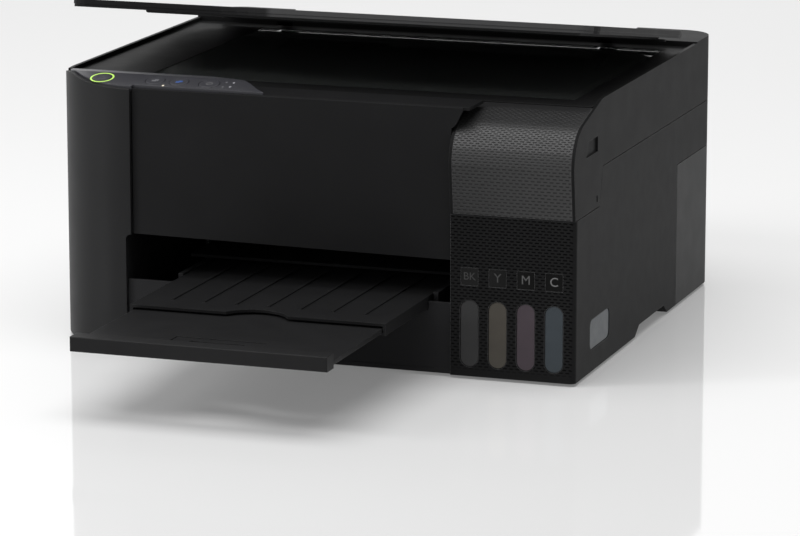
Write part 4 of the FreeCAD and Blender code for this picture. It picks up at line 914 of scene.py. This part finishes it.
@dataclass
class ControlPanel:
    """Control panel with round buttons, printed signs and status lights."""

    near: Point2 = (-159.4, 178.8)
    slope: float = 12.0
    proud: float = 0.2
    power: Point2 = (-144.5, -147.6)
    mono: Point2 = (-106.6, -147.6)
    colour: Point2 = (-89.7, -147.4)
    stop: Point2 = (-68.3, -147.7)
    lights: Tuple[Tuple[Point2, Colour, float], ...] = (
        ((-98.1, -155.2), (0.55, 0.50, 0.40), 0.7),
        ((-57.6, -143.6), (0.10, 0.10, 0.11), 0.0),
        ((-52.6, -143.8), (0.30, 0.30, 0.32), 0.1),
        ((-57.4, -151.6), (0.10, 0.10, 0.11), 0.0),
        ((-52.5, -150.8), (0.30, 0.30, 0.32), 0.1),
    )

    def surface(self, lift: float) -> Callable[[Point2, float], Point3]:
        """The panel's slope, raised by a lift."""
        return sloping(self.near, self.slope, lift)

    def power_ring(self) -> None:
        """Lit ring round the power button."""
        glow = Print((0.36, 0.58, 0.10), 0.75, 0.35).material("power_ring_light")
        shape = Shape()
        shape.ring(self.power, 6.9, 8.1, 0.0, 0.18, self.surface(-0.02))
        shape.finish("power_ring", "scanner_unit", "control", [glow])
        mark = Print((0.10, 0.10, 0.11)).material("power_sign")
        shape = Shape()
        shape.ring(self.power, 1.5, 1.9, 0.0, 0.06, self.surface(self.proud - 0.14))
        bar = rounded((self.power[0], self.power[1] + 1.9), (0.2, 1.1), 0.18, 3)
        shape.slab(bar, 0.0, 0.1, self.surface(self.proud - 0.14), 0.03)
        shape.finish("power_sign", "power_button", "button", [mark])

    def sheet_sign(self, spot: Point2, name: str, body: str, ring: Colour, sign: Colour) -> None:
        """Ring and two overlapping sheets printed on a copy button."""
        plane = self.surface(self.proud - 0.12)
        shape = Shape()
        shape.ring(spot, 5.6, 5.95, 0.0, 0.09, plane, 0)
        for shift in (-0.8, 0.8):
            sheet = rounded((spot[0] + shift, spot[1] + shift * 0.7), (1.5, 1.25), 0.35, 4)
            shape.slab(sheet, 0.0, 0.1 + 0.02 * shift, plane, 0.04, 1)
        shape.finish(name, body, "button", [
            Print(ring).material(name + "_ring"), Print(sign).material(name + "_sheets")
        ])

    def stop_sign(self) -> None:
        """Ring and a slashed drop of sheets printed on the stop button."""
        plane = self.surface(self.proud - 0.12)
        shape = Shape()
        shape.ring(self.stop, 6.1, 6.6, 0.0, 0.09, plane, 0)
        shape.ring(self.stop, 1.7, 2.2, 0.0, 0.09, plane, 1)
        slash = [(-1.9, -1.6), (-1.6, -1.9), (1.9, 1.6), (1.6, 1.9)]
        outline = [(self.stop[0] + x, self.stop[1] + y) for x, y in slash]
        shape.slab(outline, 0.0, 0.1, plane, 0.03, 1)
        shape.finish("stop_sign", "stop_button", "button", [
            Print((0.13, 0.13, 0.135)).material("stop_ring"), Print((0.12, 0.12, 0.125)).material("stop_mark")
        ])

    def status_lights(self) -> None:
        """Small lamps and signs right of the buttons."""
        for i, (spot, tint, glow) in enumerate(self.lights):
            shape = Shape()
            shape.slab(pill(spot, (0.75, 1.05), 8), 0.0, 0.12, self.surface(-0.02), 0.06)
            shape.finish("status_light_%d" % i, "scanner_unit", "control", [
                Print(tint, glow).material("status_light_%d" % i)
            ])

    def build(self) -> None:
        """Dress the panel and print its signs."""
        face = SatinPlastic(
            colour=(0.036, 0.036, 0.042), roughness=0.34, grain=4.0, edge_wear_and_highlight=0.3, specular=0.3
        )
        dress(["control_panel"], face.material("control_plastic"))
        key = SatinPlastic(
            colour=(0.040, 0.040, 0.047), roughness=0.32, grain=4.0, edge_wear_and_highlight=0.4, specular=0.3
        )
        keys = ["power_button", "mono_copy_button", "color_copy_button", "stop_button"]
        dress(keys, key.material("key_plastic"))
        self.power_ring()
        self.sheet_sign(self.mono, "mono_sign", "mono_copy_button", (0.03, 0.03, 0.035), (0.12, 0.12, 0.13))
        self.sheet_sign(
            self.colour, "colour_sign", "color_copy_button", (0.018, 0.028, 0.07), (0.03, 0.08, 0.26)
        )
        self.stop_sign()
        self.status_lights()


@dataclass(frozen=True)
class LidPlastic(SatinPlastic):
    """Lid shell: dark, with a painted highlight on the front-facing chamfer along the right of its front edge.
    """

    colour: Colour = (0.010, 0.010, 0.0105)
    bevel_highlight: Colour = (0.060, 0.060, 0.061)
    highlight_ends: Point2 = (-40.0, -34.0)
    specular: float = 0.06

    def tint(self, graph: Graph, spot: Flow) -> Flow:
        """Base colour with a painted highlight where the chamfer faces the front."""
        x, _, _ = graph.parts(spot)
        _, ny, _ = graph.facing()
        # Painted highlight on the part of the chamfer that faces the front.
        share = x.ramp(*self.highlight_ends) * (0.0 - ny).ramp(0.3, 0.7)
        return graph.blend(share, super().tint(graph, spot), self.bevel_highlight)


@dataclass
class Lid:
    """Lid shell with its foam mat."""

    axis: Point2 = (146.0, 178.4)
    angle: float = 9.4
    soften: float = 1.6
    shade_strip_box: Tuple[Point2, Point2] = ((-166.0, 123.2), (166.0, 127.4))
    shade_strip_heights: Point2 = (176.5, 178.2)

    def raised(self, depth: float, height: float) -> Callable[[Point2, float], Point3]:
        """Place an outline of the closed lid where it is at rest."""
        s, c = math.sin(math.radians(self.angle)), math.cos(math.radians(self.angle))

        def place(p: Point2, d: float) -> Point3:
            """Closed place to the place at rest."""
            y, z = p[1] + depth - self.axis[0], d + height - self.axis[1]
            return (p[0] * MM, (self.axis[0] + y * c + z * s) * MM, (self.axis[1] + z * c - y * s) * MM)

        return place

    def shade_strip(self) -> None:
        """Dark foam strip along the lid's back edge, put in as painted shade: it blocks light from the glass
        where the gap should look dark.
        """
        (x0, y0), (x1, y1) = self.shade_strip_box
        low, high = self.shade_strip_heights
        outline = rounded(((x0 + x1) / 2, (y0 + y1) / 2), ((x1 - x0) / 2, (y1 - y0) / 2), 1.2, 4)
        shape = Shape()
        # Dark strip standing in for the shade in the gap behind the glass.
        shape.slab(outline, 0.0, high - low, self.raised(0.0, low), 0.3)
        shape.finish("lid_shade_strip", "lid", "pad", [Foam(cell=1.6).material("shade_strip_foam")])

    def mat(self) -> None:
        """Foam mat under the lid, in the place of the plain pad."""
        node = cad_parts["lid_pad"]
        mesh = bmesh.new()
        mesh.from_mesh(node.data)
        bmesh.ops.remove_doubles(mesh, verts=mesh.verts, dist=0.00001)
        bmesh.ops.dissolve_limit(mesh, angle_limit=math.radians(1), verts=mesh.verts, edges=mesh.edges)
        data = bpy.data.meshes.new("lid_mat")
        mesh.to_mesh(data)
        mesh.free()
        piece = bpy.data.objects.new("lid_mat", data)
        bpy.context.scene.collection.objects.link(piece)
        data.materials.clear()
        data.materials.append(Foam().material("mat_foam"))
        rounding = piece.modifiers.new("rounding", "BEVEL")
        rounding.width = self.soften * MM
        rounding.segments = 4
        rounding.limit_method = "ANGLE"
        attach(piece, "lid")
        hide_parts("lid_pad")

    def build(self) -> None:
        """Dress the lid and lay in its mat."""
        dress(["lid_shell"], LidPlastic().material("lid_plastic"))
        arms = SatinPlastic(colour=(0.014, 0.014, 0.015), roughness=0.5)
        dress(["lid_hinges"], arms.material("lid_arm_plastic"))
        self.mat()
        self.shade_strip()


@dataclass
class OutputTray:
    """Output tray, its extension and stopper."""

    def build(self) -> None:
        """Dress the tray nodes."""
        deck = SatinPlastic(colour=(0.013, 0.013, 0.0135), roughness=0.42, edge_wear_and_highlight=0.4)
        dress(["output_tray", "tray_stopper"], deck.material("tray_plastic"))
        bar = SatinPlastic(colour=(0.014, 0.014, 0.0145), roughness=0.40, edge_wear_and_highlight=0.6)
        dress(["tray_extension"], bar.material("tray_bar_plastic"))


@dataclass
class PrintEngine:
    """Frame, carriage, rollers, gears, motors and boards."""

    def build(self) -> None:
        """Dress the engine nodes."""
        dark = SatinPlastic(colour=(0.014, 0.014, 0.015), roughness=0.5, edge_wear_and_highlight=0.4).material("inner_plastic")
        dress(["platen", "star_wheel_bar", "print_carriage", "power_supply"], dark)
        plated = Metal(colour=(0.52, 0.53, 0.53), roughness=0.34, brushing=Brushing.SPANGLE)
        dress(["main_frame"], plated.material("plated_sheet"))
        dress(["guide_shaft", "carriage_motor", "feed_motor"], Metal().material("ground_steel"))
        dress(["carriage_belt"], SoftRubber(grain=3.0).material("belt_rubber"))
        grey = SatinPlastic(colour=(0.12, 0.12, 0.125), roughness=0.45).material("grey_plastic")
        dress(["capping_station"], grey)
        white = SatinPlastic(colour=(0.62, 0.62, 0.59), roughness=0.42, edge_wear_and_highlight=0.1).material("natural_plastic")
        dress(["waste_ink_box", "drive_pulley", "tension_pulley", "drive_pinion", "idler_gear"], white)
        dress(["feed_roller", "exit_roller"], SoftRubber(colour=(0.05, 0.05, 0.052)).material("roller_rubber"))
        dress(["main_board"], Circuit().material("circuit_board"))


@dataclass
class RearFeeder:
    """Rear paper feeder."""

    def build(self) -> None:
        """Dress the feeder nodes."""
        leaf = SatinPlastic().material("support_plastic")
        dress(["paper_support"], leaf)
        dark = SatinPlastic(colour=(0.015, 0.015, 0.016), roughness=0.48).material("feeder_plastic")
        dress(["support_extension", "feeder_guard", "edge_guide_left", "edge_guide_right", "feeder_base"], dark)
        dress(["pickup_roller"], SoftRubber(colour=(0.07, 0.07, 0.07)).material("pickup_rubber"))


# ------------------------------------------------------------------ studio
@dataclass
class Studio:
    """Pale floor, soft lamps and the camera."""

    lamps: List[Tuple[str, Point3, Point3, Point2, float]] = field(default_factory=lambda: [
        ("top_soft", (0.0, -0.3, 2.3), (0.0, 0.0, 0.1), (2.6, 1.4), 30.0),
        ("hood_strip", (-0.44, -1.42, 1.60), (0.15, -0.16, 0.15), (1.6, 0.32), 9.0),
        ("front_left", (-1.9, -1.3, 1.0), (-0.15, -0.1, 0.1), (0.5, 1.6), 20.0),
        ("right_wall", (2.2, 0.1, 1.0), (0.1, 0.0, 0.1), (1.2, 1.6), 1.5),
        ("behind", (-0.4, 2.4, 1.6), (0.0, 0.2, 0.1), (3.0, 1.4), 14.0),
    ])

    def floor(self) -> None:
        """Large glossy pale floor."""
        graph = Graph("floor_gloss")
        spot = graph.place()
        cloud = graph.noise(spot, 0.001, 2.0)
        graph.set(
            Base_Color=graph.blend(cloud, (0.86, 0.86, 0.86), (0.90, 0.90, 0.90)),
            Roughness=0.035 + cloud * 0.02,
        )
        graph.shader.inputs["IOR"].default_value = 1.7
        graph.shader.inputs["Emission Color"].default_value = (1.0, 1.0, 1.0, 1.0)
        graph.shader.inputs["Emission Strength"].default_value = 0.16
        shape = Shape()
        corners = [shape.mesh.verts.new(p) for p in ((-9, -6, 0), (9, -6, 0), (9, 12, 0), (-9, 12, 0))]
        shape.mesh.faces.new(corners)
        data = bpy.data.meshes.new("floor")
        shape.mesh.to_mesh(data)
        shape.mesh.free()
        data.materials.append(graph.material)
        ground = bpy.data.objects.new("floor", data)
        bpy.context.scene.collection.objects.link(ground)

    def lights(self) -> None:
        """Soft area lamps."""
        for name, place, target, size, power in self.lamps:
            lamp = bpy.data.lights.new(name, "AREA")
            lamp.shape = "RECTANGLE"
            lamp.size, lamp.size_y = size
            lamp.energy = power
            holder = bpy.data.objects.new(name, lamp)
            holder.location = place
            aim = Vector(target) - Vector(place)
            holder.rotation_euler = aim.to_track_quat("-Z", "Y").to_euler()
            bpy.context.scene.collection.objects.link(holder)

    def sky(self) -> None:
        """White surroundings, dimmer as a light than as a background."""
        world = bpy.data.worlds.new("studio")
        world.use_nodes = True
        tree = world.node_tree
        back = tree.nodes["Background"]
        back.inputs["Color"].default_value = (1.0, 1.0, 1.0, 1.0)
        path = tree.nodes.new("ShaderNodeLightPath")
        glossy = tree.nodes.new("ShaderNodeMapRange")
        glossy.inputs["To Min"].default_value = 0.20
        glossy.inputs["To Max"].default_value = 0.75
        mix = tree.nodes.new("ShaderNodeMapRange")
        mix.inputs["To Max"].default_value = 1.0
        tree.links.new(path.outputs["Is Glossy Ray"], glossy.inputs["Value"])
        tree.links.new(glossy.outputs["Result"], mix.inputs["To Min"])
        tree.links.new(path.outputs["Is Camera Ray"], mix.inputs["Value"])
        tree.links.new(mix.outputs["Result"], back.inputs["Strength"])
        bpy.context.scene.world = world

    def camera(self) -> None:
        """Camera in front and to the right, a little above the lid."""
        lens = bpy.data.cameras.new("camera")
        lens.lens = 187.7
        lens.sensor_width = 36.0
        lens.clip_end = 60.0
        holder = bpy.data.objects.new("camera", lens)
        holder.location = (0.92965, -2.65901, 0.64426)
        holder.rotation_euler = (math.radians(77.74), 0.0, math.radians(19.02))
        bpy.context.scene.collection.objects.link(holder)
        bpy.context.scene.camera = holder

    def build(self) -> None:
        """Set up the whole studio."""
        bpy.context.scene.view_settings.view_transform = "Standard"
        self.camera()
        self.floor()
        self.sky()
        self.lights()


def corners(bounds: Any) -> List[List[float]]:
    """A box as plain lists of numbers."""
    return [[float(v) for v in corner] for corner in bounds]


def main() -> None:
    """Build every sub-assembly in order and log each one."""
    logging.basicConfig(level=logging.INFO, format="%(message)s")
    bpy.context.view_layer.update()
    assemblies = (
        Studio(), Casing(), InkBay(), ScannerUnit(), ControlPanel(), Lid(), OutputTray(),
        PrintEngine(), RearFeeder(),
    )
    for assembly in assemblies:
        assembly.build()
        log.info("built %s", type(assembly).__name__)


if __name__ == "__main__":
    main()
